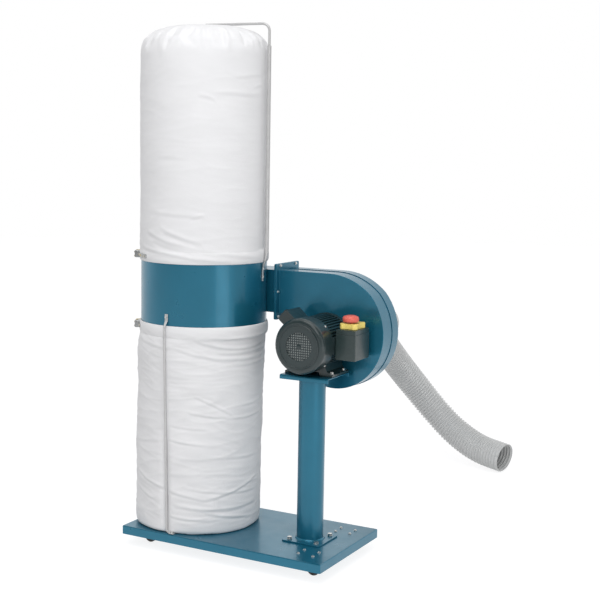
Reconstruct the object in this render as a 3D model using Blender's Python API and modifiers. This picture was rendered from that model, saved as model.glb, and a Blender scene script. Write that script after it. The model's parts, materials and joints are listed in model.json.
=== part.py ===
"""Single-bag workshop dust collector: wheeled tray, post, motor, fan housing, filter drum, two cloth
bags, bag hanger and suction hose. Metres, +Z up, floor at z = 0, the front (motor cowl) faces -Y."""

import math

import bmesh
import bpy
from mathutils import Vector

# ------------------------------------------------------------------ driving dimensions (metres)
GAP = 0.0003  # clearance between pieces that touch

# wheeled tray
TRAY_LENGTH = 0.860
TRAY_MARGIN = 0.0045  # from the support rods' feet to the tray's long sides
TRAY_SHEET = 0.0025
TRAY_SKIRT = 0.033
TRAY_EDGE_RADIUS = 0.004
WHEEL_DIAMETER = 0.050
WHEEL_WIDTH = 0.020
CASTOR_HEIGHT = 0.0742
CASTOR_PLATE_LENGTH = 0.075
CASTOR_PLATE_WIDTH = 0.062
CASTOR_PLATE_SHEET = 0.0025
CASTOR_INSET_X = 0.094
CASTOR_INSET_Y = 0.091
CASTOR_TRAIL = 0.022
FORK_SHEET = 0.002
KING_PIN_DIAMETER = 0.010
AXLE_DIAMETER = 0.006

# post
POST_X = 0.261
POST_DIAMETER = 0.100
POST_WALL = 0.003
POST_FOOT_SIZE = 0.160
POST_FOOT_SHEET = 0.005
POST_FOOT_CORNER = 0.012
WELD_RING_HEIGHT = 0.006
WELD_RING_WIDTH = 0.006
FOOT_BOLT_DIAMETER = 0.010
FOOT_BOLT_SPACING = 0.112
MOTOR_PLATE_LENGTH = 0.200
MOTOR_PLATE_DEPTH = 0.174
MOTOR_PLATE_SHEET = 0.004
MOTOR_PLATE_LIP = 0.017
MOTOR_PLATE_Y = 0.015

# motor
MOTOR_AXIS_Z = 0.820
MOTOR_FOOT_DROP = 0.115
MOTOR_BODY_FRONT = -0.035
MOTOR_BODY_BACK = 0.100
FIN_TIP_RADIUS = 0.0985
FIN_ROOT_RADIUS = 0.0925
TERMINAL_PAD = 0.1005
STATOR_BORE = 0.090
ROTOR_AIR_GAP = 0.0005
SHAFT_DIAMETER = 0.017
BEARING_DIAMETER = 0.040
BEARING_WIDTH = 0.012
END_BELL_DEPTH = 0.0195
COWL_RADIUS = 0.1026
COWL_SHEET = 0.002
COWL_FRONT = -0.114
COWL_EDGE_RADIUS = 0.016
COWL_VENT_DIAMETER = 0.104
FAN_RADIUS = 0.082
FAN_DEPTH = 0.030
CAPACITOR_ANGLE = 139.0
CAPACITOR_WIDTH = 0.048
CAPACITOR_HEIGHT = 0.056
CAPACITOR_LENGTH = 0.105

# switch
SWITCH_WIDTH = 0.081
SWITCH_DEPTH = 0.118
SWITCH_HEIGHT = 0.095
SWITCH_FRONT = -0.021
SWITCH_DROP = 0.051  # from the motor's axis down to the case's bottom
SWITCH_WALL = 0.003
LID_HEIGHT = 0.017
LID_INSET = 0.0015
COVER_LENGTH = 0.088
COVER_WIDTH = 0.068
COVER_HEIGHT = 0.021
MUSHROOM_DIAMETER = 0.060
MUSHROOM_TRAVEL = 0.004
BUTTON_DIAMETER = 0.020
BUTTON_SPACING = 0.034

# fan housing
VOLUTE_FRONT = 0.120
VOLUTE_DEPTH = 0.1295
VOLUTE_SHEET = 0.002
THROAT_RADIUS = 0.146
FULL_RADIUS = 0.246
FULL_ANGLE = 45.0
OUTLET_HEIGHT = 0.1645
COVER_RIM_DEPTH = 0.052
SHAFT_HOLE_DIAMETER = 0.060
IMPELLER_RADIUS = 0.124
BLADE_COUNT = 8
BLADE_DEPTH = 0.072
FLANGE_X = 0.0430
FLANGE_SHEET = 0.005
FLANGE_MARGIN = 0.025
SPIGOT_DIAMETER = 0.130
SPIGOT_LENGTH = 0.052
SPIGOT_WALL = 0.002

# drum and bags
DUCT_REACH = 0.0235  # from the drum's wall to the flanges
DRUM_Y = 0.008
DRUM_RADIUS = 0.242
DRUM_SHEET = 0.0015
DRUM_DROP = 0.0765  # from the outlet's bottom to the drum's bottom
DRUM_HEIGHT = 0.3205
DRUM_STEPS = 48  # the drum and both bags share these, so that their facets line up
HEM_HEIGHT = 0.0449
HEM_THICKNESS = 0.0033
CLOTH_SHELL = 0.0035
UPPER_BAG_TOP = 1.980
UPPER_BAG_SHOULDER = 0.100
UPPER_BAG_FLAT = 0.125
LOWER_BAG_TAPER = 0.013
LOWER_BAG_CORNER = 0.034
CLAMP_SHEET = 0.0014
CLAMP_WIDTH = 0.013
CLAMP_AZIMUTH = 209.0
CLAMP_LUG_SPACING = 0.024
CLAMP_SCREW_DIAMETER = 0.006

# support rods and bag hanger
ROD_DIAMETER = 0.009
ROD_AZIMUTHS = (-92.0, 112.0)
ROD_TOP_STANDOFF = 0.014  # outside the drum
ROD_FOOT_STANDOFF = 0.0075  # outside the lower bag's foot
ROD_TAB_SHEET = 0.0030
HANGER_AZIMUTH = 8.0
HANGER_TUBE_DIAMETER = 0.016
HANGER_STANDOFF = 0.0165  # outside the drum
HANGER_ARM_RISE = 0.075  # from the tube's top to the bag's top
HANGER_ROD_DIAMETER = 0.010
HANGER_SOCKET_DEPTH = 0.060
HANGER_BEND_RADIUS = 0.027

# suction hose: its route on the outside of the floor plan, chosen by hand
HOSE_DIAMETER = 0.140
HOSE_WALL = 0.004
CUFF_WALL = 0.0045
HOSE_CLAMP_WIDTH = 0.014
HOSE_ROUTE = (
    (0.261, 0.3125, 0.820),
    (0.261, 0.390, 0.820),
    (0.253, 0.530, 0.816),
    (0.222, 0.690, 0.806),
    (0.152, 0.845, 0.793),
    (0.070, 0.985, 0.776),
    (-0.005, 1.120, 0.739),
    (-0.057, 1.255, 0.678),
    (-0.076, 1.385, 0.595),
    (-0.054, 1.500, 0.489),
    (0.010, 1.580, 0.370),
    (0.102, 1.620, 0.252),
    (0.212, 1.625, 0.156),
    (0.340, 1.604, 0.095),
    (0.483, 1.570, 0.0715),
)

# ------------------------------------------------------------------ derived places
LOWER_BAG_FOOT_RADIUS = DRUM_RADIUS - LOWER_BAG_TAPER
ROD_TOP_RADIUS = DRUM_RADIUS + ROD_TOP_STANDOFF
ROD_FOOT_RADIUS = LOWER_BAG_FOOT_RADIUS + ROD_FOOT_STANDOFF
HANGER_TUBE_RADIUS = DRUM_RADIUS + HANGER_STANDOFF
HANGER_TUBE_TOP = UPPER_BAG_TOP - HANGER_ARM_RISE
DRUM_X = FLANGE_X - DUCT_REACH - DRUM_RADIUS
TRAY_WIDTH = 2 * (ROD_FOOT_RADIUS + TRAY_MARGIN)
TRAY_TOP = CASTOR_HEIGHT + GAP + TRAY_SHEET
CASTOR_X = TRAY_LENGTH / 2 - CASTOR_INSET_X
CASTOR_Y = TRAY_WIDTH / 2 - CASTOR_INSET_Y
POST_FOOT_TOP = TRAY_TOP + GAP + POST_FOOT_SHEET
MOTOR_PLATE_TOP = MOTOR_AXIS_Z - MOTOR_FOOT_DROP - GAP
VOLUTE_BACK = VOLUTE_FRONT + VOLUTE_DEPTH
OUTLET_TOP = MOTOR_AXIS_Z + FULL_RADIUS
OUTLET_BOTTOM = OUTLET_TOP - OUTLET_HEIGHT
DRUM_BOTTOM = OUTLET_BOTTOM - DRUM_DROP
DRUM_TOP = DRUM_BOTTOM + DRUM_HEIGHT
HEM_RADIUS = DRUM_RADIUS + GAP + HEM_THICKNESS
SWITCH_LEFT = POST_X + TERMINAL_PAD + GAP
SWITCH_X = SWITCH_LEFT + SWITCH_WIDTH / 2
SWITCH_Y = SWITCH_FRONT + SWITCH_DEPTH / 2
SWITCH_BOTTOM = MOTOR_AXIS_Z - SWITCH_DROP
SWITCH_TOP = SWITCH_BOTTOM + SWITCH_HEIGHT
LID_TOP = SWITCH_TOP + GAP + LID_HEIGHT

# ------------------------------------------------------------------ scene, materials and helpers
for old in list(bpy.data.objects):
    bpy.data.objects.remove(old, do_unlink=True)

PARTS = bpy.data.collections.new("dust_collector")
HELPERS = bpy.data.collections.new("cutters")
bpy.context.scene.collection.children.link(PARTS)
bpy.context.scene.collection.children.link(HELPERS)
ROOT = bpy.data.objects.new("dust_collector_root", None)
PARTS.objects.link(ROOT)

PAINTS = {
    "blue_paint": ((0.027, 0.175, 0.275), 0.30, 0.0),
    "black_paint": ((0.045, 0.058, 0.058), 0.42, 0.0),
    "black_plastic": ((0.050, 0.062, 0.062), 0.50, 0.0),
    "zinc": ((0.62, 0.62, 0.60), 0.32, 1.0),
    "steel": ((0.45, 0.45, 0.46), 0.35, 1.0),
    "tyre": ((0.015, 0.015, 0.016), 0.70, 0.0),
    "white_cloth": ((0.80, 0.80, 0.82), 0.90, 0.0),
    "yellow_plastic": ((0.82, 0.56, 0.12), 0.45, 0.0),
    "red_plastic": ((0.62, 0.08, 0.06), 0.40, 0.0),
    "green_plastic": ((0.05, 0.33, 0.10), 0.40, 0.0),
    "grey_hose": ((0.42, 0.43, 0.43), 0.45, 0.0),
    "aluminium": ((0.70, 0.70, 0.71), 0.40, 1.0),
}


def material_for(name, paint):
    colour, roughness, metallic = PAINTS[paint]
    material = bpy.data.materials.new(name)
    material.use_nodes = True
    shader = material.node_tree.nodes["Principled BSDF"]
    shader.inputs["Base Color"].default_value = (*colour, 1.0)
    shader.inputs["Roughness"].default_value = roughness
    shader.inputs["Metallic"].default_value = metallic
    return material


def solid(name, verts, faces, at, paint=None):
    """A closed mesh object at a place. Without a paint it is a helper for a Boolean."""
    mesh = bpy.data.meshes.new(name)
    mesh.from_pydata([tuple(v) for v in verts], [], faces)
    work = bmesh.new()
    work.from_mesh(mesh)
    bmesh.ops.remove_doubles(work, verts=work.verts, dist=1e-6)
    bmesh.ops.recalc_face_normals(work, faces=work.faces)
    work.to_mesh(mesh)
    work.free()
    obj = bpy.data.objects.new(name, mesh)
    obj.location = at
    obj.parent = ROOT
    if paint:
        PARTS.objects.link(obj)
        mesh.materials.append(material_for(name, paint))
    else:
        HELPERS.objects.link(obj)
        obj.hide_render = True
        obj.display_type = "WIRE"
    return obj


def boolean(obj, other, operation):
    modifier = obj.modifiers.new(f"{operation.lower()} {other.name}", "BOOLEAN")
    modifier.operation = operation
    modifier.solver = "EXACT"
    modifier.object = other


def cut(obj, cutter):
    boolean(obj, cutter, "DIFFERENCE")


def join(obj, other):
    boolean(obj, other, "UNION")


def round_edges(obj, width, segments=2):
    modifier = obj.modifiers.new("round edges", "BEVEL")
    modifier.width = width
    modifier.segments = segments
    modifier.limit_method = "ANGLE"
    modifier.angle_limit = math.radians(40)


def placed(axis, a, b, along):
    """A point from two coordinates across an axis and one along it."""
    return {"X": (along, a, b), "Y": (a, along, b), "Z": (a, b, along)}[axis]


def flats(radius, sides, angle):
    """The distance to the edge of a nut with this half width across its flats."""
    wedge = 2 * math.pi / sides
    return radius / math.cos(angle % wedge - wedge / 2)


def turned(name, profile, at, paint=None, axis="Z", steps=32, turn=0.0):
    """Turns a closed profile of (radius, place along the axis, optional number of flats)."""
    verts = []
    rings = []
    for point in profile:
        radius, along = point[:2]
        sides = point[2] if len(point) > 2 else 0
        if radius == 0:
            rings.append([len(verts)] * steps)
            verts.append(placed(axis, 0, 0, along))
            continue
        ring = []
        for i in range(steps):
            angle = 2 * math.pi * i / steps
            reach = flats(radius, sides, angle) if sides else radius
            ring.append(len(verts))
            angle += turn
            verts.append(placed(axis, reach * math.cos(angle), reach * math.sin(angle), along))
        rings.append(ring)
    faces = []
    for first, second in zip(rings, rings[1:] + rings[:1]):
        for i in range(steps):
            j = (i + 1) % steps
            corners = [first[i], first[j], second[j], second[i]]
            corners = list(dict.fromkeys(corners))
            if len(corners) > 2:
                faces.append(corners)
    return solid(name, verts, faces, at, paint)


def tube(name, outer, inner, start, end, at, paint=None, axis="Z", steps=32):
    profile = [(outer, start), (outer, end), (inner, end), (inner, start)]
    return turned(name, profile, at, paint, axis, steps)


def rod(name, radius, start, end, at, paint=None, axis="Z", steps=32):
    profile = [(0, start), (radius, start), (radius, end), (0, end)]
    return turned(name, profile, at, paint, axis, steps)


def extruded(name, outline, start, end, at, paint=None, axis="Z"):
    count = len(outline)
    verts = [placed(axis, a, b, start) for a, b in outline]
    verts += [placed(axis, a, b, end) for a, b in outline]
    faces = [list(range(count)), list(range(count, 2 * count))]
    faces += [[i, (i + 1) % count, count + (i + 1) % count, count + i] for i in range(count)]
    return solid(name, verts, faces, at, paint)


def box(name, low, high, paint=None):
    """A box from its lowest to its highest corner, with its origin at its middle."""
    middle = [(a + b) / 2 for a, b in zip(low, high)]
    half = [(b - a) / 2 for a, b in zip(low, high)]
    outline = [(-half[0], -half[1]), (half[0], -half[1]), (half[0], half[1]), (-half[0], half[1])]
    return extruded(name, outline, -half[2], half[2], middle, paint)


def arc(x, y, radius, start, end, steps):
    """Points on an arc, angles in degrees."""
    angles = [math.radians(start + (end - start) * i / steps) for i in range(steps + 1)]
    return [(x + radius * math.cos(a), y + radius * math.sin(a)) for a in angles]


def rounded_rectangle(width, height, radius, steps=4):
    x, y = width / 2 - radius, height / 2 - radius
    corners = ((x, y, 0), (-x, y, 90), (-x, -y, 180), (x, -y, 270))
    return [p for cx, cy, a in corners for p in arc(cx, cy, radius, a, a + 90, steps)]


def lofted(name, path, sections, side, at, paint):
    """A bar along a path. Each section is (half thickness, half width); side is its width direction."""
    steps = 12
    side = Vector(side).normalized()
    points = [Vector(p) for p in path]
    verts = []
    for i, (point, (thick, wide)) in enumerate(zip(points, sections)):
        ahead = points[min(i + 1, len(points) - 1)] - points[max(i - 1, 0)]
        across = side - ahead.normalized() * side.dot(ahead.normalized())
        across.normalize()
        out = ahead.normalized().cross(across)
        for k in range(steps):
            angle = 2 * math.pi * (k + 0.5) / steps
            verts.append(point + out * thick * math.cos(angle) + across * wide * math.sin(angle))
    faces = [list(range(steps)), list(range(len(verts) - steps, len(verts)))]
    for i in range(len(points) - 1):
        for k in range(steps):
            low, high = i * steps, (i + 1) * steps
            faces.append([low + k, low + (k + 1) % steps, high + (k + 1) % steps, high + k])
    return solid(name, verts, faces, at, paint)


def around_drum(radius, azimuth, z):
    angle = math.radians(azimuth)
    return (DRUM_X + radius * math.cos(angle), DRUM_Y + radius * math.sin(angle), z)


# ------------------------------------------------------------------ wheeled tray
def make_tray():
    low = (-TRAY_LENGTH / 2, -TRAY_WIDTH / 2, TRAY_TOP - TRAY_SKIRT)
    high = (TRAY_LENGTH / 2, TRAY_WIDTH / 2, TRAY_TOP)
    tray = box("base_tray", (low[0], low[1], low[2] - 0.02), high, "blue_paint")
    round_edges(tray, TRAY_EDGE_RADIUS)
    cut(tray, box("below_skirt", (-1, -1, low[2] - 0.05), (1, 1, low[2])))
    inside_low = (low[0] + TRAY_SHEET, low[1] + TRAY_SHEET, low[2] - 0.01)
    inside_high = (high[0] - TRAY_SHEET, high[1] - TRAY_SHEET, high[2] - TRAY_SHEET)
    cut(tray, box("tray_inside", inside_low, inside_high))
    for i, (x, y) in enumerate(foot_bolt_places()):
        cut(tray, rod(f"tray_hole_{i}", FOOT_BOLT_DIAMETER / 2 + GAP, -0.02, 0.02, (x, y, TRAY_TOP), steps=16))


def make_castor(label, x, y, trail):
    plate_top = CASTOR_HEIGHT
    plate_bottom = plate_top - CASTOR_PLATE_SHEET
    outline = rounded_rectangle(CASTOR_PLATE_LENGTH, CASTOR_PLATE_WIDTH, 0.006, 2)
    thick = CASTOR_PLATE_SHEET
    plate = extruded(f"castor_plate_{label}", outline, -thick, 0, (x, y, plate_top), "steel")
    hole = KING_PIN_DIAMETER / 2 + GAP
    cut(plate, rod(f"king_hole_{label}", hole, -0.01, 0.01, (x, y, plate_top), steps=16))

    head_top = plate_bottom - GAP
    pin = KING_PIN_DIAMETER / 2
    head = 0.023
    profile = [(0, -0.004), (head, -0.004), (head, 0), (pin, 0)]
    profile += [(pin, GAP + thick * 0.8), (0, GAP + thick * 0.8)]
    fork = turned(f"castor_fork_{label}", profile, (x, y, head_top), "steel", steps=16)
    axle_z = WHEEL_DIAMETER / 2 - head_top
    inner = WHEEL_WIDTH / 2 + 0.0012
    cheek = [(-0.014, -0.003), (0.014, -0.003), (trail + 0.010, axle_z), (trail + 0.006, axle_z - 0.008)]
    cheek += [(trail - 0.006, axle_z - 0.008), (trail - 0.010, axle_z)]
    for side in (-1, 1):
        start, end = sorted((side * inner, side * (inner + FORK_SHEET)))
        part = extruded(f"cheek_{label}_{side}", cheek, start, end, (x, y, head_top), axis="Y")
        join(fork, part)
    bore = AXLE_DIAMETER / 2 + GAP
    middle = (x + trail, y, WHEEL_DIAMETER / 2)
    cut(fork, rod(f"fork_bore_{label}", bore, -0.03, 0.03, middle, axis="Y", steps=16))

    # One flat of the tread faces straight down, so the tray stands on it.
    sides = 24
    outer = WHEEL_DIAMETER / 2 / math.cos(math.pi / sides)
    half = WHEEL_WIDTH / 2
    profile = [(outer - 0.003, -half), (outer, -half + 0.003), (outer, half - 0.003), (outer - 0.003, half)]
    profile += [(0.015, half), (0.013, half - 0.002), (bore, half - 0.002)]
    profile += [(bore, 0.002 - half), (0.013, 0.002 - half), (0.015, -half)]
    turned(f"castor_wheel_{label}", profile, middle, "tyre", "Y", sides, math.pi / sides)

    pin = AXLE_DIAMETER / 2
    reach = inner + FORK_SHEET + GAP
    profile = [(0, -reach - 0.002), (0.0048, -reach - 0.002), (0.0048, -reach), (pin, -reach)]
    profile += [(pin, reach), (0.0048, reach), (0.0048, reach + 0.002), (0, reach + 0.002)]
    turned(f"castor_axle_{label}", profile, middle, "zinc", "Y", 12)


def make_castors():
    for label, side_x, side_y in (
        ("front_left", -1, -1),
        ("front_right", 1, -1),
        ("back_left", -1, 1),
        ("back_right", 1, 1),
    ):
        make_castor(label, side_x * CASTOR_X, side_y * CASTOR_Y, side_x * CASTOR_TRAIL)


# ------------------------------------------------------------------ post
def foot_bolt_places():
    half = FOOT_BOLT_SPACING / 2
    return [(POST_X + a * half, b * half) for a in (-1, 1) for b in (-1, 1)]


def make_post():
    outline = rounded_rectangle(POST_FOOT_SIZE, POST_FOOT_SIZE, POST_FOOT_CORNER)
    thick = POST_FOOT_SHEET
    foot = extruded("post_foot", outline, -thick, 0, (POST_X, 0, POST_FOOT_TOP), "blue_paint")
    inner = POST_DIAMETER / 2 + GAP
    ring = [(inner, -0.001), (inner + WELD_RING_WIDTH, -0.001), (inner + WELD_RING_WIDTH, 0.001)]
    ring += [(inner + 0.002, WELD_RING_HEIGHT), (inner, WELD_RING_HEIGHT)]
    join(foot, turned("weld_ring", ring, (POST_X, 0, POST_FOOT_TOP), steps=32))
    for i, (x, y) in enumerate(foot_bolt_places()):
        hole = FOOT_BOLT_DIAMETER / 2 + GAP
        cut(foot, rod(f"foot_hole_{i}", hole, -0.02, 0.02, (x, y, POST_FOOT_TOP), steps=16))
        make_foot_bolt(f"foot_bolt_{i + 1}", x, y)

    start = POST_FOOT_TOP + GAP
    end = MOTOR_PLATE_TOP - MOTOR_PLATE_SHEET - GAP
    outer = POST_DIAMETER / 2
    tube("post_tube", outer, outer - POST_WALL, 0, end - start, (POST_X, 0, start), "blue_paint", steps=32)

    half = MOTOR_PLATE_DEPTH / 2
    sheet = MOTOR_PLATE_SHEET
    radius = 0.006
    outline = [(-half, -MOTOR_PLATE_LIP)]
    outline += arc(-half + radius, -radius, radius, 180, 90, 4) + arc(half - radius, -radius, radius, 90, 0, 4)
    outline += [(half, -MOTOR_PLATE_LIP), (half - sheet, -MOTOR_PLATE_LIP), (half - sheet, -sheet)]
    outline += [(sheet - half, -sheet), (sheet - half, -MOTOR_PLATE_LIP)]
    reach = MOTOR_PLATE_LENGTH / 2
    at = (POST_X, MOTOR_PLATE_Y, MOTOR_PLATE_TOP)
    extruded("motor_plate", outline, -reach, reach, at, "blue_paint", "X")


def make_foot_bolt(name, x, y):
    """A hexagon bolt with its washer and nut, through the foot plate and the tray."""
    shank = FOOT_BOLT_DIAMETER / 2
    below = -(POST_FOOT_SHEET + GAP + TRAY_SHEET + GAP)
    profile = [(0, 0.0085 + GAP), (0.0080, 0.0085 + GAP, 6), (0.0080, 0.0018 + GAP, 6)]
    profile += [(0.0100, 0.0018 + GAP), (0.0100, GAP), (shank, GAP), (shank, below), (0.0080, below, 6)]
    profile += [(0.0080, below - 0.008, 6), (shank, below - 0.008), (shank, below - 0.012), (0, below - 0.012)]
    turned(name, profile, (x, y, POST_FOOT_TOP), "zinc", steps=12)


# ------------------------------------------------------------------ motor
def fins(start, end, count):
    """The outline of a row of cooling fins from one angle to another, in degrees."""
    points = []
    step = (end - start) / count
    for i in range(count):
        for share, radius in ((0.15, FIN_ROOT_RADIUS), (0.30, FIN_TIP_RADIUS), (0.70, FIN_TIP_RADIUS)):
            angle = math.radians(start + step * (i + share))
            points.append((radius * math.cos(angle), radius * math.sin(angle)))
        angle = math.radians(start + step * (i + 0.85))
        points.append((FIN_ROOT_RADIUS * math.cos(angle), FIN_ROOT_RADIUS * math.sin(angle)))
    return points


def make_motor_body():
    drop = MOTOR_FOOT_DROP
    outline = fins(-46, -20, 4) + [(TERMINAL_PAD, -0.031), (TERMINAL_PAD, 0.031)] + fins(20, 226, 30)
    outline += [(-0.075, -0.095), (-0.098, 0.008 - drop), (-0.098, -drop), (-0.050, -drop), (-0.042, -0.100)]
    outline += [(0.042, -0.100), (0.050, -drop), (0.098, -drop), (0.098, 0.008 - drop), (0.075, -0.095)]
    at = (POST_X, 0, MOTOR_AXIS_Z)
    body = extruded("motor_body", outline, MOTOR_BODY_FRONT, MOTOR_BODY_BACK, at, "black_paint", "Y")
    cut(body, rod("stator_bore", STATOR_BORE / 2, -0.2, 0.2, at, axis="Y", steps=48))


def make_end_bell(name, start, radius, bearing_start):
    """A bell that closes one end of the motor and holds a bearing."""
    shaft = SHAFT_DIAMETER / 2 + 0.002
    bore = BEARING_DIAMETER / 2 + GAP
    end = start + END_BELL_DEPTH
    seat = bearing_start + BEARING_WIDTH + GAP
    profile = [(radius, start), (radius, end), (shaft, end), (shaft, seat), (bore, seat), (bore, start)]
    turned(name, profile, (POST_X, 0, MOTOR_AXIS_Z), "black_paint", "Y", 40)


def make_rotor():
    at = (POST_X, 0, MOTOR_AXIS_Z)
    shaft = SHAFT_DIAMETER / 2
    fan_bell = MOTOR_BODY_FRONT - GAP - END_BELL_DEPTH
    drive_bell = MOTOR_BODY_BACK + GAP
    make_end_bell("fan_end_bell", fan_bell, COWL_RADIUS - COWL_SHEET - GAP, fan_bell)
    make_end_bell("drive_end_bell", drive_bell, FIN_TIP_RADIUS + 0.0015, drive_bell)
    for name, start in (("fan_end_bearing", fan_bell), ("drive_end_bearing", drive_bell)):
        bearing_end = start + BEARING_WIDTH
        tube(name, BEARING_DIAMETER / 2, shaft + GAP, start, bearing_end, at, "steel", "Y", 24)
    fan_start = fan_bell - 0.006 - FAN_DEPTH
    shaft_end = VOLUTE_FRONT + VOLUTE_SHEET + 0.048
    rod("motor_shaft", shaft, fan_start, shaft_end, at, "steel", "Y")
    core = STATOR_BORE / 2 - ROTOR_AIR_GAP
    tube("motor_rotor", core, shaft + GAP, MOTOR_BODY_FRONT + 0.015, MOTOR_BODY_BACK - 0.015, at, "steel", "Y")

    hub = [(0.020, fan_start), (0.020, fan_start + 0.026), (FAN_RADIUS, fan_start + FAN_DEPTH - 0.0025)]
    hub += [(FAN_RADIUS, fan_start + FAN_DEPTH), (shaft + GAP, fan_start + FAN_DEPTH)]
    hub += [(shaft + GAP, fan_start)]
    fan = turned("cooling_fan", hub, at, "black_plastic", "Y", 32)
    join(fan, blades("fan_blades", at, 7, 0.018, FAN_RADIUS, 0.003, fan_start + 0.001, fan_start + 0.029, 0))

    back = VOLUTE_FRONT + VOLUTE_SHEET + 0.008
    front = back + 0.003
    hub = [(IMPELLER_RADIUS, back), (IMPELLER_RADIUS, front), (0.030, front), (0.026, back + 0.036)]
    hub += [(shaft + GAP, back + 0.036), (shaft + GAP, back)]
    impeller = turned("impeller", hub, at, "aluminium", "Y", 48)
    end = back + BLADE_DEPTH
    join(impeller, blades("vanes", at, BLADE_COUNT, 0.020, IMPELLER_RADIUS - 0.001, 0.003, back + 0.001, end, 18))


def blades(name, at, count, inner, outer, thick, start, end, lean):
    """Flat blades round a Y axis, as one mesh. Each leans back from its radius by an angle."""
    verts = []
    faces = []
    for i in range(count):
        angle = 2 * math.pi * i / count
        reach = (outer - inner) * 0.94 if lean else outer - inner
        for along in (start, end):
            for away, across in ((0, -1), (1, -1), (1, 1), (0, 1)):
                tilt = math.radians(lean)
                a = inner + away * reach * math.cos(tilt) - across * thick / 2 * math.sin(tilt)
                b = away * reach * math.sin(tilt) + across * thick / 2 * math.cos(tilt)
                x = a * math.cos(angle) - b * math.sin(angle)
                z = a * math.sin(angle) + b * math.cos(angle)
                verts.append((x, along, z))
        base = 8 * i
        faces += [[base + k for k in quad] for quad in ((0, 1, 2, 3), (4, 5, 6, 7), (0, 1, 5, 4))]
        faces += [[base + k for k in quad] for quad in ((1, 2, 6, 5), (2, 3, 7, 6), (3, 0, 4, 7))]
    return solid(name, verts, faces, at)


def make_cowl():
    at = (POST_X, 0, MOTOR_AXIS_Z)
    back = MOTOR_BODY_FRONT - GAP
    edge = COWL_EDGE_RADIUS
    sheet = COWL_SHEET
    outer = [(COWL_RADIUS, back)]
    outer += arc(COWL_RADIUS - edge, COWL_FRONT + edge, edge, 0, -90, 4)
    outer += [(0.080, COWL_FRONT), (0.077, COWL_FRONT - 0.002), (0.073, COWL_FRONT - 0.002)]
    outer += [(0.070, COWL_FRONT), (COWL_VENT_DIAMETER / 2, COWL_FRONT)]
    inner = [(COWL_VENT_DIAMETER / 2, COWL_FRONT + sheet)]
    inner += arc(COWL_RADIUS - edge, COWL_FRONT + edge, edge - sheet, -90, 0, 2)
    inner += [(COWL_RADIUS - sheet, back)]
    turned("fan_cowl", outer + inner, at, "black_paint", "Y", 40)


def make_capacitor():
    outline = rounded_rectangle(CAPACITOR_HEIGHT, CAPACITOR_WIDTH, 0.006, 3)
    middle = FIN_TIP_RADIUS + GAP + CAPACITOR_HEIGHT / 2
    turn = math.radians(CAPACITOR_ANGLE)
    turned_outline = []
    for a, b in outline:
        a += middle
        turned_outline.append((a * math.cos(turn) - b * math.sin(turn), a * math.sin(turn) + b * math.cos(turn)))
    start = MOTOR_BODY_FRONT + 0.005
    at = (POST_X, 0, MOTOR_AXIS_Z)
    case = extruded("capacitor_box", turned_outline, start, start + CAPACITOR_LENGTH, at, "black_plastic", "Y")
    round_edges(case, 0.003)


# ------------------------------------------------------------------ switch
def make_switch():
    wall = SWITCH_WALL
    low = (SWITCH_LEFT, SWITCH_FRONT, SWITCH_BOTTOM)
    high = (SWITCH_LEFT + SWITCH_WIDTH, SWITCH_FRONT + SWITCH_DEPTH, SWITCH_TOP)
    case = box("switch_box", low, (high[0], high[1], SWITCH_TOP + 0.02), "black_plastic")
    round_edges(case, 0.003)
    cut(case, box("above_case", (low[0] - 1, -1, SWITCH_TOP), (high[0] + 1, 1, SWITCH_TOP + 0.05)))
    inside_high = (high[0] - wall, high[1] - wall, high[2] + 0.01)
    cut(case, box("switch_inside", [a + wall for a in low], inside_high))

    low = (low[0] + LID_INSET, low[1] + LID_INSET, SWITCH_TOP + GAP)
    high = (high[0] - LID_INSET, high[1] - LID_INSET, LID_TOP)
    lid = box("switch_lid", (low[0], low[1], low[2] - 0.01), high, "black_plastic")
    round_edges(lid, 0.002)
    cut(lid, box("below_lid", (low[0] - 1, -1, low[2] - 0.05), (high[0] + 1, 1, low[2])))
    inside_low = (low[0] + wall, low[1] + wall, low[2] - 0.01)
    cut(lid, box("lid_inside", inside_low, [a - wall for a in high]))
    hole = BUTTON_DIAMETER / 2 + GAP
    for name, y, height, paint in (
        ("stop_button", SWITCH_Y - BUTTON_SPACING / 2, 0.006, "red_plastic"),
        ("start_button", SWITCH_Y + BUTTON_SPACING / 2, 0.003, "green_plastic"),
    ):
        at = (SWITCH_X, y, LID_TOP)
        cut(lid, rod(f"{name}_hole", hole, -0.02, 0.02, at, steps=24))
        radius = BUTTON_DIAMETER / 2
        profile = [(0, height), (radius - 0.001, height), (radius, height - 0.001), (radius, -wall - GAP)]
        profile += [(radius + 0.002, -wall - GAP), (radius + 0.002, -wall - 0.003), (0, -wall - 0.003)]
        turned(name, profile, at, paint, steps=24)
    make_cover(lid)


def cover_outline():
    """A long pad with a round lobe at each corner and a shallow waist between them."""
    length, width = COVER_LENGTH / 2, COVER_WIDTH / 2
    lobe = 0.013
    points = []
    for side_x, side_y, start in ((1, 1, -45), (-1, 1, 45), (-1, -1, 135), (1, -1, 225)):
        points += arc(side_x * (width - lobe), side_y * (length - lobe), lobe, start, start + 180, 8)
        waist = {45: (-width + 0.004, 0), 225: (width - 0.004, 0)}.get(start)
        points += [waist] if waist else []
    return points


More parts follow.
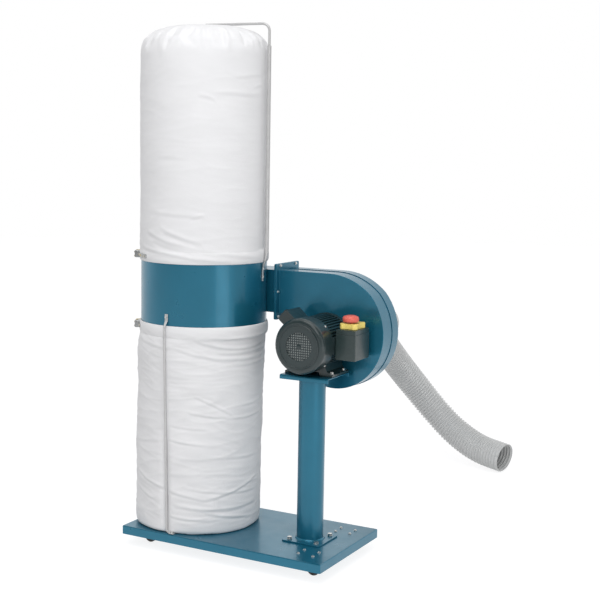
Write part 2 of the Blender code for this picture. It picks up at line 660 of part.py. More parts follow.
def make_cover(lid):
    """The hinged yellow cover, the mushroom that slides in it and its hinge on the lid."""
    start = GAP
    at = (SWITCH_X, SWITCH_Y, LID_TOP)
    hinge_y = SWITCH_DEPTH / 2 - 0.007
    hinge_z = 0.0055
    cover = extruded("switch_cover", cover_outline(), start, COVER_HEIGHT, at, "yellow_plastic")
    cover.location = (SWITCH_X, SWITCH_Y + hinge_y, LID_TOP + hinge_z)
    for vert in cover.data.vertices:
        vert.co -= Vector((0, hinge_y, hinge_z))
    round_edges(cover, 0.002)
    low = (SWITCH_X - 0.022, SWITCH_Y - 0.034, LID_TOP - 0.01)
    high = (SWITCH_X + 0.022, SWITCH_Y + 0.034, LID_TOP + COVER_HEIGHT - 0.004)
    cut(cover, box("cover_inside", low, high))
    axis = (SWITCH_X, SWITCH_Y + hinge_y, LID_TOP + hinge_z)
    join(cover, rod("cover_knuckle", 0.004, -0.014, 0.014, axis, axis="X", steps=20))
    join(cover, rod("cover_pin", 0.002, -0.0195, 0.0195, axis, axis="X", steps=16))
    arm_low = (axis[0] - 0.010, axis[1] - 0.016, LID_TOP + 0.003)
    arm_high = (axis[0] + 0.010, axis[1] - 0.001, LID_TOP + 0.0088)
    join(cover, box("cover_arm", arm_low, arm_high))
    for side in (-1, 1):
        x = axis[0] + side * 0.0173
        lug_low = (x - 0.0028, axis[1] - 0.0038, LID_TOP - 0.001)
        join(lid, box(f"lug_{side}", lug_low, (x + 0.0028, axis[1] + 0.0038, axis[2] + 0.0040)))
    cut(lid, rod("pin_bore", 0.002 + GAP, -0.03, 0.03, axis, axis="X", steps=16))

    stem_at = (SWITCH_X, SWITCH_Y - BUTTON_SPACING / 2, LID_TOP + COVER_HEIGHT)
    stem = 0.0060
    cut(cover, rod("stem_hole", stem + GAP, -0.02, 0.02, stem_at, steps=24))
    under = MUSHROOM_TRAVEL + 0.0030
    foot = 0.006 + GAP - COVER_HEIGHT
    top = MUSHROOM_DIAMETER / 2
    profile = [(0, under + 0.0225), (top * 0.55, under + 0.0215), (top * 0.88, under + 0.0180)]
    profile += [(top, under + 0.0120), (top * 0.96, under + 0.0085), (top * 0.50, under + 0.0050)]
    profile += [(top * 0.40, under), (stem, under), (stem, -0.004 - GAP), (stem + 0.003, -0.004 - GAP)]
    profile += [(stem + 0.003, -0.0058), (stem, -0.0058), (stem, foot), (0, foot)]
    turned("stop_mushroom", profile, stem_at, "red_plastic", steps=24)


# ------------------------------------------------------------------ fan housing
def scroll_radius(angle):
    """The radius of the scroll at an angle in degrees, from the throat at -180 to the top at 90."""
    share = min(1.0, (angle + 180) / (FULL_ANGLE + 180))
    return THROAT_RADIUS + (FULL_RADIUS - THROAT_RADIUS) * share


def scroll_outline(grow, left):
    """The scroll with its outlet, seen from the front, grown all round except at its open left end."""
    points = [(left, OUTLET_TOP + grow)]
    for i in range(55):
        angle = 90 - i * 5
        radius = scroll_radius(angle) + grow
        a = math.radians(angle)
        points.append((POST_X + radius * math.cos(a), MOTOR_AXIS_Z + radius * math.sin(a)))
    throat = POST_X - THROAT_RADIUS - grow
    bottom = OUTLET_BOTTOM - grow
    points += [(throat, bottom), (left, bottom)]
    return points


def flange_outline():
    """The window frame that both flanges share, as (y, z) pairs."""
    margin = FLANGE_MARGIN
    low = (VOLUTE_FRONT - margin, OUTLET_BOTTOM - margin)
    high = (VOLUTE_BACK + margin, OUTLET_TOP + margin)
    width, height = high[0] - low[0], high[1] - low[1]
    middle = ((low[0] + high[0]) / 2, (low[1] + high[1]) / 2)
    return [(middle[0] + a, middle[1] + b) for a, b in rounded_rectangle(width, height, 0.006, 3)]


def make_volute():
    sheet = VOLUTE_SHEET
    lap = VOLUTE_BACK - sheet - GAP
    left = FLANGE_X + GAP / 2
    origin = (0, 0, 0)
    housing = extruded("volute_housing", scroll_outline(0, left), VOLUTE_FRONT, lap, origin, "blue_paint", "Y")
    plate = extruded("volute_flange", flange_outline(), left, left + FLANGE_SHEET, origin, axis="X")
    join(housing, plate)
    inside = scroll_outline(-sheet, left - 0.02)
    cut(housing, extruded("volute_inside", inside, VOLUTE_FRONT + sheet, lap + 0.02, origin, axis="Y"))
    shaft_at = (POST_X, VOLUTE_FRONT, MOTOR_AXIS_Z)
    cut(housing, rod("shaft_hole", SHAFT_HOLE_DIAMETER / 2, -0.01, 0.01, shaft_at, axis="Y"))
    behind = (left - 0.001, lap, OUTLET_BOTTOM + sheet)
    beyond = (left + 0.02, lap + 0.05, OUTLET_TOP - sheet)
    cut(housing, box("window_back", (behind[0] - 0.01, VOLUTE_FRONT + sheet, behind[2]), (beyond[0], lap, beyond[2])))

    left = left + FLANGE_SHEET + GAP
    rim = GAP + sheet
    start = VOLUTE_BACK - COVER_RIM_DEPTH
    outline = scroll_outline(rim, left)
    cover = extruded("volute_cover", outline, start, VOLUTE_BACK, origin, "blue_paint", "Y")
    inside = scroll_outline(GAP, left - 0.02)
    cut(cover, extruded("cover_hollow", inside, start - 0.02, VOLUTE_BACK - sheet, origin, axis="Y"))
    inlet_at = (POST_X, VOLUTE_BACK, MOTOR_AXIS_Z)
    outer = SPIGOT_DIAMETER / 2
    join(cover, tube("spigot", outer, outer - SPIGOT_WALL, -0.001, SPIGOT_LENGTH, inlet_at, None, "Y", 40))
    cut(cover, rod("inlet_hole", outer - SPIGOT_WALL, -0.03, SPIGOT_LENGTH + 0.03, inlet_at, None, "Y", 40))


# ------------------------------------------------------------------ drum and its duct
def make_drum():
    sheet = DRUM_SHEET
    bead = 0.0015
    outer = [(DRUM_RADIUS, 0), (DRUM_RADIUS, DRUM_HEIGHT)]
    inner = [(DRUM_RADIUS - sheet - bead, DRUM_HEIGHT), (DRUM_RADIUS - sheet - bead, DRUM_HEIGHT - 0.004)]
    inner += [(DRUM_RADIUS - sheet, DRUM_HEIGHT - 0.004), (DRUM_RADIUS - sheet, 0.004)]
    inner += [(DRUM_RADIUS - sheet - bead, 0.004), (DRUM_RADIUS - sheet - bead, 0)]
    drum = turned("drum", outer + inner, (DRUM_X, DRUM_Y, DRUM_BOTTOM), "blue_paint", steps=DRUM_STEPS)

    duct_sheet = VOLUTE_SHEET
    low = (DRUM_X + 0.040, VOLUTE_FRONT, OUTLET_BOTTOM)
    right = FLANGE_X - GAP / 2
    high = (right, VOLUTE_BACK, OUTLET_TOP)
    duct = box("drum_duct", low, high, "blue_paint")
    plate = extruded("drum_flange", flange_outline(), right - FLANGE_SHEET, right, (0, 0, 0), axis="X")
    join(duct, plate)
    inside_low = (low[0] + duct_sheet, low[1] + duct_sheet, low[2] + duct_sheet)
    inside_high = (high[0] + 0.05, high[1] - duct_sheet, high[2] - duct_sheet)
    cut(duct, box("duct_inside", inside_low, inside_high))
    around = rod("drum_space", DRUM_RADIUS + GAP, -0.1, DRUM_HEIGHT + 0.1, drum.location, steps=DRUM_STEPS)
    cut(duct, around)
    window = box("drum_window", (DRUM_X + 0.060, inside_low[1], inside_low[2]), inside_high)
    cut(drum, window)


# ------------------------------------------------------------------ bags and their band clamps
def make_upper_bag():
    seat = DRUM_TOP + GAP
    shell = CLOTH_SHELL
    radius = HEM_RADIUS
    shoulder = UPPER_BAG_SHOULDER
    flat = UPPER_BAG_FLAT
    curve = []
    for i in range(7):
        a = math.radians(90 * i / 6)
        curve.append((math.cos(a), math.sin(a)))
    spread = radius - flat
    outer = [(radius, DRUM_TOP - HEM_HEIGHT)]
    outer += [(flat + spread * c, UPPER_BAG_TOP - shoulder + shoulder * s) for c, s in curve]
    outer += [(0, UPPER_BAG_TOP)]
    inner = [(0, UPPER_BAG_TOP - shell)]
    spread -= shell
    inner += [(flat + spread * c, UPPER_BAG_TOP - shoulder + (shoulder - shell) * s) for c, s in curve[::-1]]
    inner += [(radius - shell, seat + 0.02), (DRUM_RADIUS - DRUM_SHEET, seat)]
    inner += [(DRUM_RADIUS + GAP, seat), (DRUM_RADIUS + GAP, DRUM_TOP - HEM_HEIGHT)]
    turned("upper_bag", outer + inner, (DRUM_X, DRUM_Y, 0), "white_cloth", steps=DRUM_STEPS)


def make_lower_bag():
    seat = DRUM_BOTTOM - GAP
    shell = CLOTH_SHELL
    floor = TRAY_TOP + GAP
    foot = LOWER_BAG_FOOT_RADIUS
    corner = LOWER_BAG_CORNER
    hem_top = DRUM_BOTTOM + HEM_HEIGHT
    radius = HEM_RADIUS
    outer = [(radius, hem_top), (radius, seat - 0.006), (radius - 0.0025, seat - 0.020)]
    outer += arc(foot - corner, floor + corner, corner, 0, -90, 4) + [(0, floor)]
    inner = [(0, floor + shell)]
    inner += arc(foot - corner, floor + corner, corner - shell, -90, 0, 4)
    inner += [(radius - 0.0025 - shell, seat - 0.020), (DRUM_RADIUS - DRUM_SHEET, seat)]
    inner += [(DRUM_RADIUS + GAP, seat), (DRUM_RADIUS + GAP, hem_top)]
    turned("lower_bag", outer + inner, (DRUM_X, DRUM_Y, 0), "white_cloth", steps=DRUM_STEPS)


def make_clamp(label, z):
    """A steel band with two lugs that a cross bolt draws together."""
    inner = HEM_RADIUS + GAP
    outer = inner + CLAMP_SHEET
    tip = outer + 0.020
    near = CLAMP_LUG_SPACING / 2 - 0.0022
    far = CLAMP_LUG_SPACING / 2
    start = math.degrees(math.asin(near / inner))
    finish = math.degrees(math.asin(far / outer))
    outline = arc(0, 0, inner, start, 360 - start, 72) + [(tip, -near), (tip, -far)]
    outline += arc(0, 0, outer, 360 - finish, finish, 72) + [(tip, far), (tip, near)]
    half = CLAMP_WIDTH / 2
    at = (DRUM_X, DRUM_Y, z)
    band = extruded(f"clamp_band_{label}", outline, -half, half, at, "zinc")
    turn = math.radians(CLAMP_AZIMUTH)
    band.rotation_euler.z = turn
    reach = outer + 0.011
    across = (DRUM_X + reach * math.cos(turn), DRUM_Y + reach * math.sin(turn), z)
    shank = CLAMP_SCREW_DIAMETER / 2
    hole = rod(f"clamp_hole_{label}", shank + GAP, -0.03, 0.03, across, axis="Y", steps=16)
    hole.rotation_euler.z = turn
    cut(band, hole)
    far += GAP
    profile = [(0, -far - 0.010), (shank, -far - 0.010), (shank, -far - 0.0055), (0.0050, -far - 0.0055, 6)]
    profile += [(0.0050, -far, 6), (shank, -far), (shank, far), (0.0062, far), (0.0062, far + 0.0014)]
    profile += [(0.0050, far + 0.0014, 6), (0.0050, far + 0.0058, 6), (0, far + 0.0058)]
    screw = turned(f"clamp_screw_{label}", profile, across, "zinc", "Y", 12)
    screw.rotation_euler.z = turn


# ------------------------------------------------------------------ support rods and hanger
def make_support_rod(number, azimuth):
    """A round rod with its lower end bent and flattened on the tray and its top flattened on the drum."""
    angle = math.radians(azimuth)
    out = Vector((math.cos(angle), math.sin(angle), 0))
    along = Vector((-math.sin(angle), math.cos(angle), 0))
    centre = Vector((DRUM_X, DRUM_Y, 0))
    half = ROD_DIAMETER / 2
    tab = ROD_TAB_SHEET / 2
    floor = TRAY_TOP + GAP
    top = ROD_TOP_RADIUS
    foot = ROD_FOOT_RADIUS
    face = DRUM_RADIUS + GAP + tab
    route = [(foot, 0.034, floor + tab), (foot, 0.016, floor + tab), (foot, 0.008, floor + half + 0.0005)]
    sections = [(tab, 0.0075), (tab, 0.0075), (half * 0.85, half * 1.1)]
    corner = [(foot, 0.0030, floor + half + 0.0025), (foot, 0.0, floor + half + 0.008)]
    sections += [(half, half)] * 2
    hem_top = DRUM_BOTTOM + HEM_HEIGHT
    upright = [(foot, 0, floor + 0.030), (top, 0, DRUM_BOTTOM - 0.020), (top, 0, hem_top - 0.004)]
    sections += [(half, half)] * 3
    crank = [(top - 0.004, 0, hem_top + 0.006), (face + 0.0025, 0, hem_top + 0.014), (face, 0, hem_top + 0.019)]
    sections += [(half * 0.9, half), (tab * 1.6, 0.0060), (tab, 0.0070)]
    last = [(face, 0, hem_top + 0.044)]
    sections += [(tab, 0.0070)]
    places = [centre + out * r + along * t + Vector((0, 0, z)) for r, t, z in route + corner + upright + crank + last]
    base = places[4]
    local = [p - base for p in places]
    name = f"support_rod_{number}"
    # The foot lies flat, so its width points outwards; the rest is wide along the drum.
    foot_part = lofted_turning(name, local, sections, out, along, base)
    return foot_part


def lofted_turning(name, path, sections, first_side, last_side, at):
    """A bar whose width direction turns from one side to another over its first five sections."""
    steps = 12
    verts = []
    for i, (point, (thick, wide)) in enumerate(zip(path, sections)):
        ahead = (path[min(i + 1, len(path) - 1)] - path[max(i - 1, 0)]).normalized()
        side = first_side if i < 5 else last_side
        across = (side - ahead * side.dot(ahead)).normalized()
        out = ahead.cross(across)
        if i >= 5:
            across, out = -out, across
            thick, wide = wide, thick
        for k in range(steps):
            angle = 2 * math.pi * (k + 0.5) / steps
            verts.append(point + out * thick * math.cos(angle) + across * wide * math.sin(angle))
    faces = [list(range(steps)), list(range(len(verts) - steps, len(verts)))]
    for i in range(len(path) - 1):
        low, high = i * steps, (i + 1) * steps
        faces += [[low + k, low + (k + 1) % steps, high + (k + 1) % steps, high + k] for k in range(steps)]
    return solid(name, verts, faces, at, "zinc")


def make_hanger():
    face = DRUM_RADIUS + GAP + 0.0015
    tube_r = HANGER_TUBE_RADIUS
    half = HANGER_TUBE_DIAMETER / 2
    hem = DRUM_TOP - HEM_HEIGHT
    profile = [(face, hem - 0.071), (face, hem - 0.028), (face + 0.0045, hem - 0.008), (face + 0.0115, hem + 0.012)]
    profile += [(tube_r, hem + 0.034), (tube_r, hem + 0.060), (tube_r, HANGER_TUBE_TOP)]
    sections = [(0.0015, 0.0080), (0.0015, 0.0080), (0.0025, 0.0080), (0.0050, 0.0080)]
    sections += [(0.0075, 0.0080), (half, half), (half, half)]
    angle = math.radians(HANGER_AZIMUTH)
    side = (-math.sin(angle), math.cos(angle), 0)
    base = Vector(around_drum(face, HANGER_AZIMUTH, hem - 0.071))
    path = [Vector(around_drum(r, HANGER_AZIMUTH, z)) - base for r, z in profile]
    lower = lofted("hanger_lower", path, sections, side, base, "zinc")
    socket_at = around_drum(tube_r, HANGER_AZIMUTH, HANGER_TUBE_TOP)
    socket = HANGER_ROD_DIAMETER / 2 + GAP
    cut(lower, rod("hanger_socket", socket, -HANGER_SOCKET_DEPTH, 0.02, socket_at, steps=24))

    radius = HANGER_ROD_DIAMETER / 2
    start = HANGER_TUBE_TOP - HANGER_SOCKET_DEPTH + GAP
    level = UPPER_BAG_TOP + 0.0015 + radius
    bend = HANGER_BEND_RADIUS
    route = [(tube_r, start), (tube_r, HANGER_TUBE_TOP), (tube_r, level - bend - 0.004)]
    route += arc(tube_r - bend, level - bend, bend, 0, 90, 6)
    route += [(tube_r - bend - 0.010, level), (0.12, level), (0.0, level)]
    base = Vector(around_drum(tube_r, HANGER_AZIMUTH, start))
    path = [Vector(around_drum(r, HANGER_AZIMUTH, z)) - base for r, z in route]
    lofted("hanger_arm", path, [(radius, radius)] * len(path), side, base, "zinc")


# ------------------------------------------------------------------ hose
def smooth(points, spacing):
    """Points at about this spacing on a Catmull-Rom curve through the given ones."""
    knots = [Vector(p) for p in points]
    knots = [knots[0] * 2 - knots[1]] + knots + [knots[-1] * 2 - knots[-2]]
    fine = []
    for p0, p1, p2, p3 in zip(knots, knots[1:], knots[2:], knots[3:]):
        for i in range(40):
            t = i / 40
            bend = (2 * p0 - 5 * p1 + 4 * p2 - p3) * t * t + (3 * p1 - p0 - 3 * p2 + p3) * t * t * t
            fine.append((2 * p1 + (p2 - p0) * t + bend) / 2)
    fine.append(knots[-2])
    lengths = [0.0]
    for a, b in zip(fine, fine[1:]):
        lengths.append(lengths[-1] + (b - a).length)
    count = round(lengths[-1] / spacing)
    result = []
    for i in range(count + 1):
        goal = lengths[-1] * i / count
        k = max(j for j, s in enumerate(lengths) if s <= goal + 1e-9)
        result.append(fine[k])
    return result


def make_hose():
    inlet = (POST_X, 0, MOTOR_AXIS_Z)
    spigot = SPIGOT_DIAMETER / 2 + GAP
    cuff_start = VOLUTE_BACK + 0.004
    cuff_end = HOSE_ROUTE[0][1] - GAP
    outer = spigot + CUFF_WALL
    cuff = [(outer, cuff_start), (outer, cuff_end), (spigot - 0.003, cuff_end)]
    step = VOLUTE_BACK + SPIGOT_LENGTH + GAP
    cuff += [(spigot - 0.003, step), (spigot, step), (spigot, cuff_start)]
    turned("hose_cuff", cuff, inlet, "black_plastic", "Y", 40)
    clamp_start = cuff_start + 0.014
    clamp_end = clamp_start + HOSE_CLAMP_WIDTH
    inner = outer + GAP
    clamp = tube("hose_clamp", inner + 0.0012, inner, clamp_start, clamp_end, inlet, "zinc", "Y", 40)
    low = (POST_X - 0.014, clamp_start + 0.001, MOTOR_AXIS_Z + inner + 0.0006)
    join(clamp, box("clamp_housing", low, (POST_X + 0.014, clamp_end - 0.001, MOTOR_AXIS_Z + inner + 0.012)))

    curve = bpy.data.curves.new("hose", "CURVE")
    curve.dimensions = "3D"
    curve.bevel_depth = HOSE_DIAMETER / 2
    curve.bevel_resolution = 4
    spline = curve.splines.new("POLY")
    points = smooth(HOSE_ROUTE, 0.085)
    spline.points.add(len(points) - 1)
    for target, place in zip(spline.points, points):
        target.co = (*place, 1)
    hose = bpy.data.objects.new("hose", curve)
    hose.parent = ROOT
    PARTS.objects.link(hose)
    curve.materials.append(material_for("hose", "grey_hose"))
    wall = hose.modifiers.new("wall", "SOLIDIFY")
    wall.thickness = HOSE_WALL
    wall.offset = -1


# ------------------------------------------------------------------ assembly
def centre_on_origin():
    """Moves the whole assembly so that the middle of its box, hose left out, is over the origin."""
    bpy.context.view_layer.update()
    graph = bpy.context.evaluated_depsgraph_get()
    low = [math.inf] * 3
    high = [-math.inf] * 3
    for obj in PARTS.objects:
        if obj.type != "MESH" or obj.name in ("hose_cuff", "hose_clamp"):
            continue
        made = obj.evaluated_get(graph)
        mesh = made.to_mesh()
        for vert in mesh.vertices:
            place = made.matrix_world @ vert.co
            low = [min(a, b) for a, b in zip(low, place)]
            high = [max(a, b) for a, b in zip(high, place)]
        made.to_mesh_clear()
    ROOT.location = (-(low[0] + high[0]) / 2, -(low[1] + high[1]) / 2, -low[2])


make_tray()
make_castors()
make_post()
make_motor_body()
make_rotor()
make_cowl()
make_capacitor()
make_switch()
make_volute()
make_drum()
make_upper_bag()
make_lower_bag()
make_clamp("upper", DRUM_TOP - HEM_HEIGHT + 0.020)
make_clamp("lower", DRUM_BOTTOM + HEM_HEIGHT - 0.020)
for index, rod_azimuth in enumerate(ROD_AZIMUTHS):
    make_support_rod(index + 1, rod_azimuth)
make_hanger()
make_hose()
centre_on_origin()
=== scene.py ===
"""Looks of a workshop dust collector: enamelled steel, a dark motor, cloth bags and a ribbed hose."""

import json
import math

import bmesh
import bpy
import numpy as np
from mathutils import Matrix, Vector, noise

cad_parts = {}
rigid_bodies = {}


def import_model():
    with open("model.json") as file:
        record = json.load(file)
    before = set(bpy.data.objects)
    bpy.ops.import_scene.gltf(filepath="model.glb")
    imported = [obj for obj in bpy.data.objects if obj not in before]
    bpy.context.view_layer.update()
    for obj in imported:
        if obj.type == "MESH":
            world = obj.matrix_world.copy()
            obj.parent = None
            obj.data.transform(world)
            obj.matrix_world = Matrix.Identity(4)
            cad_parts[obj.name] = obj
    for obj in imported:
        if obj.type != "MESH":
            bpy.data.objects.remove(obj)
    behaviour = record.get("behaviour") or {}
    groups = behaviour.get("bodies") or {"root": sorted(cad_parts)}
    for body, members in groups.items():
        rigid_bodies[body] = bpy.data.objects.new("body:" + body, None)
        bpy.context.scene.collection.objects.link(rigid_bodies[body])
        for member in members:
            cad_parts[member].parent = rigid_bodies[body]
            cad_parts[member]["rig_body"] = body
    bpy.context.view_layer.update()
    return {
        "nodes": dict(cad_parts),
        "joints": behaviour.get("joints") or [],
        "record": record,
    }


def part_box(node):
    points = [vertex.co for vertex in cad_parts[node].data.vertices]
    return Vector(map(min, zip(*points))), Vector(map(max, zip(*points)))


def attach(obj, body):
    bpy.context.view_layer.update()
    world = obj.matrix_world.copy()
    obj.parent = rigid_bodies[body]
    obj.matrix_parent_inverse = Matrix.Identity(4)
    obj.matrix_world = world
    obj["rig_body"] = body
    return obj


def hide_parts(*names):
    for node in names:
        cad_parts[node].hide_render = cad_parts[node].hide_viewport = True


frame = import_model()
scene = bpy.context.scene

# ------------------------------------------------------------------ places, from the frame
TRAY_LOW, TRAY_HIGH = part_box("base_tray")
BASE = Vector(((TRAY_LOW.x + TRAY_HIGH.x) / 2, (TRAY_LOW.y + TRAY_HIGH.y) / 2, 0))
DRUM_LOW, DRUM_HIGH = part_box("drum")
DRUM_AXIS = (DRUM_LOW + DRUM_HIGH) / 2
DRUM_AXIS.z = 0
DRUM_RADIUS = (DRUM_HIGH.x - DRUM_LOW.x) / 2
JOINTS = {joint["name"]: joint for joint in frame["joints"]}
MOTOR_AXIS = Vector(JOINTS["rotor_spin"]["pos_m"])
POST_X, POST_Y = (sum(pair) / 2 for pair in zip(*[tuple(c)[:2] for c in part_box("post_tube")]))

# ------------------------------------------------------------------ sizes of what is made here
HOSE_RADIUS = 0.070
RIB_PITCH = 0.0158
RIB_DEPTH = 0.0064
ROWS_PER_RIB = 10
THREAD_PITCH = 0.0011
HOSE_ROUTE = (
    (0.261, 0.3125, 0.820),
    (0.261, 0.390, 0.820),
    (0.253, 0.530, 0.816),
    (0.222, 0.690, 0.806),
    (0.152, 0.845, 0.793),
    (0.070, 0.985, 0.776),
    (-0.005, 1.120, 0.739),
    (-0.057, 1.255, 0.678),
    (-0.076, 1.385, 0.595),
    (-0.054, 1.500, 0.489),
    (0.010, 1.580, 0.370),
    (0.102, 1.620, 0.252),
    (0.212, 1.625, 0.156),
    (0.340, 1.604, 0.095),
    (0.483, 1.570, 0.0715),
)  # measured from the middle of the base tray


# ------------------------------------------------------------------ camera
def make_camera():
    """The view from the front right, a little above the motor."""
    yaw, pitch, roll = (math.radians(a) for a in (29.304, 6.771, 0.806))
    ahead = Vector((-math.sin(yaw) * math.cos(pitch), math.cos(yaw) * math.cos(pitch), -math.sin(pitch)))
    level = Vector((math.cos(yaw), math.sin(yaw), 0))
    above = level.cross(ahead)
    right = level * math.cos(roll) + above * math.sin(roll)
    up = above * math.cos(roll) - level * math.sin(roll)
    data = bpy.data.cameras.new("camera")
    data.sensor_width = 36
    data.lens = 72.55
    data.shift_x, data.shift_y = 0.0358, -0.0130
    data.clip_end = 60
    camera = bpy.data.objects.new("camera", data)
    place = BASE + Vector((2.300, -3.899, 1.528))
    turn = Matrix((right, up, -ahead)).transposed().to_4x4()
    camera.matrix_world = Matrix.Translation(place) @ turn
    scene.collection.objects.link(camera)
    scene.camera = camera


# ------------------------------------------------------------------ shader building
class Shader:
    """A node material with short helpers for the textures that feed its Principled BSDF."""

    def __init__(self, name, colour, roughness, metallic=0.0, **sockets):
        self.material = bpy.data.materials.new(name)
        self.material.use_nodes = True
        self.tree = self.material.node_tree
        self.bsdf = self.tree.nodes["Principled BSDF"]
        self.colour = (*colour, 1.0)
        self.bsdf.inputs["Base Color"].default_value = self.colour
        self.bsdf.inputs["Roughness"].default_value = roughness
        self.bsdf.inputs["Metallic"].default_value = metallic
        for socket, value in sockets.items():
            self.bsdf.inputs[socket.replace("_", " ")].default_value = value
        self.material.diffuse_color = self.colour
        self.place = self.tree.nodes.new("ShaderNodeTexCoord").outputs["Object"]
        self.normal = None

    def node(self, kind, **values):
        made = self.tree.nodes.new(kind)
        for key, value in values.items():
            if key in made.bl_rna.properties:
                setattr(made, key, value)
            else:
                made.inputs[key.replace("_", " ")].default_value = value
        return made

    def link(self, source, target):
        self.tree.links.new(source, target)

    def stretched(self, scale):
        mapping = self.node("ShaderNodeMapping")
        mapping.inputs["Scale"].default_value = scale
        self.link(self.place, mapping.inputs["Vector"])
        return mapping.outputs["Vector"]

    def noise(self, scale, detail=3.0, rough=0.55, stretch=None):
        made = self.node("ShaderNodeTexNoise", Scale=scale, Detail=detail, Roughness=rough)
        self.link(self.stretched(stretch) if stretch else self.place, made.inputs["Vector"])
        return made.outputs["Fac"]

    def between(self, value, low, high, out_low, out_high):
        ramp = self.node("ShaderNodeMapRange", From_Min=low, From_Max=high, To_Min=out_low, To_Max=out_high)
        self.link(value, ramp.inputs["Value"])
        return ramp.outputs["Result"]

    def mix(self, factor, first, second):
        made = self.node("ShaderNodeMix", data_type="RGBA")
        self.link(factor, made.inputs["Factor"])
        for index, value in ((6, first), (7, second)):
            if isinstance(value, tuple):
                made.inputs[index].default_value = (*value[:3], 1.0)
            else:
                self.link(value, made.inputs[index])
        return made.outputs[2]

    def set_colour(self, output):
        self.link(output, self.bsdf.inputs["Base Color"])

    def set_roughness(self, output):
        self.link(output, self.bsdf.inputs["Roughness"])

    def bump(self, height, strength, distance):
        made = self.node("ShaderNodeBump", Strength=strength, Distance=distance)
        self.link(height, made.inputs["Height"])
        if self.normal:
            self.link(self.normal, made.inputs["Normal"])
        self.normal = made.outputs["Normal"]
        self.link(self.normal, self.bsdf.inputs["Normal"])

    def vary(self, scale, share, dark=0.9, light=1.06, stretch=None):
        """Soft patches a little darker and lighter than the colour itself."""
        low = tuple(c * dark for c in self.colour[:3])
        high = tuple(min(1.0, c * light) for c in self.colour[:3])
        factor = self.between(self.noise(scale, 3, 0.6, stretch), 0.5 - share, 0.5 + share, 0, 1)
        mixed = self.mix(factor, low, high)
        self.set_colour(mixed)
        return mixed


def enamel(name, colour, roughness=0.30, coat=0.30):
    """Stoved enamel with a fine metal flake: slight orange peel, a thin clear skin and rubbed patches."""
    made = Shader(name, colour, roughness, 0.50, Coat_Weight=coat, Coat_Roughness=0.10)
    made.vary(5, 0.25, 0.93, 1.07)
    made.set_roughness(made.between(made.noise(14, 4), 0.3, 0.7, roughness - 0.03, roughness + 0.06))
    made.bump(made.noise(900, 2), 0.06, 0.0002)
    return made.material


def motor_paint(name, colour, roughness, grain=520, depth=0.12):
    made = Shader(name, colour, roughness, Coat_Weight=0.45, Coat_Roughness=0.14)
    made.vary(30, 0.3, 0.85, 1.18)
    made.set_roughness(made.between(made.noise(60, 4), 0.3, 0.7, roughness - 0.06, roughness + 0.10))
    made.bump(made.noise(grain, 3), depth, 0.0006)
    return made.material


def plated(name, colour, roughness=0.28, tint=None, metallic=1.0):
    """Zinc plate: fine drawn lines, a cloudy bloom and, on some pieces, a yellow passivate."""
    made = Shader(name, colour, roughness, metallic)
    cloudy = made.vary(28, 0.3, 0.93, 1.04)
    if tint:
        factor = made.between(made.noise(46, 2), 0.42, 0.60, 0, 1)
        made.set_colour(made.mix(factor, cloudy, tint))
    made.set_roughness(made.between(made.noise(60, 3), 0.3, 0.7, roughness - 0.03, roughness + 0.06))
    made.bump(made.noise(1500, 2), 0.02, 0.0001)
    return made.material


def moulded(name, colour, roughness=0.42, **sockets):
    """Moulded plastic with a fine spark-eroded grain."""
    made = Shader(name, colour, roughness, **sockets)
    made.vary(40, 0.3, 0.92, 1.08)
    made.set_roughness(made.between(made.noise(90, 3), 0.3, 0.7, roughness - 0.04, roughness + 0.08))
    made.bump(made.noise(1100, 2), 0.10, 0.0004)
    return made.material


def woven(name, colour):
    """Plain woven filter cloth: threads both ways round the bag, slubs and a faint bloom of dust."""
    made = Shader(name, colour, 0.86, Sheen_Weight=0.15, Sheen_Roughness=0.5)
    made.bsdf.inputs["Sheen Tint"].default_value = (1, 1, 1, 1)
    split = made.node("ShaderNodeSeparateXYZ")
    made.link(made.place, split.inputs["Vector"])
    angle = made.node("ShaderNodeMath", operation="ARCTAN2")
    made.link(split.outputs["Y"], angle.inputs[0])
    made.link(split.outputs["X"], angle.inputs[1])
    threads = []
    per_metre = 2 * math.pi / THREAD_PITCH
    ways = ((angle.outputs["Value"], DRUM_RADIUS * per_metre), (split.outputs["Z"], per_metre))
    for source, rate in ways:
        scaled = made.node("ShaderNodeMath", operation="MULTIPLY")
        made.link(source, scaled.inputs[0])
        scaled.inputs[1].default_value = rate
        wave = made.node("ShaderNodeMath", operation="SINE")
        made.link(scaled.outputs["Value"], wave.inputs[0])
        threads.append(wave.outputs["Value"])
    weave = made.node("ShaderNodeMath", operation="MULTIPLY")
    made.link(threads[0], weave.inputs[0])
    made.link(threads[1], weave.inputs[1])
    made.bump(weave.outputs["Value"], 0.12, 0.0002)
    made.bump(made.noise(95, 4, 0.6, (1, 1, 3.2)), 0.22, 0.0011)
    made.vary(7, 0.3, 0.965, 1.02, (1, 1, 2.5))
    return made.material


def ribbed(name, colour):
    """Soft grey hose wall, darker down in the grooves by its own shade."""
    made = Shader(name, colour, 0.26, Coat_Weight=0.5, Coat_Roughness=0.16)
    made.vary(12, 0.3, 0.97, 1.03)
    made.set_roughness(made.between(made.noise(40, 3), 0.3, 0.7, 0.24, 0.30))
    made.bump(made.noise(300, 2), 0.02, 0.0003)
    return made.material


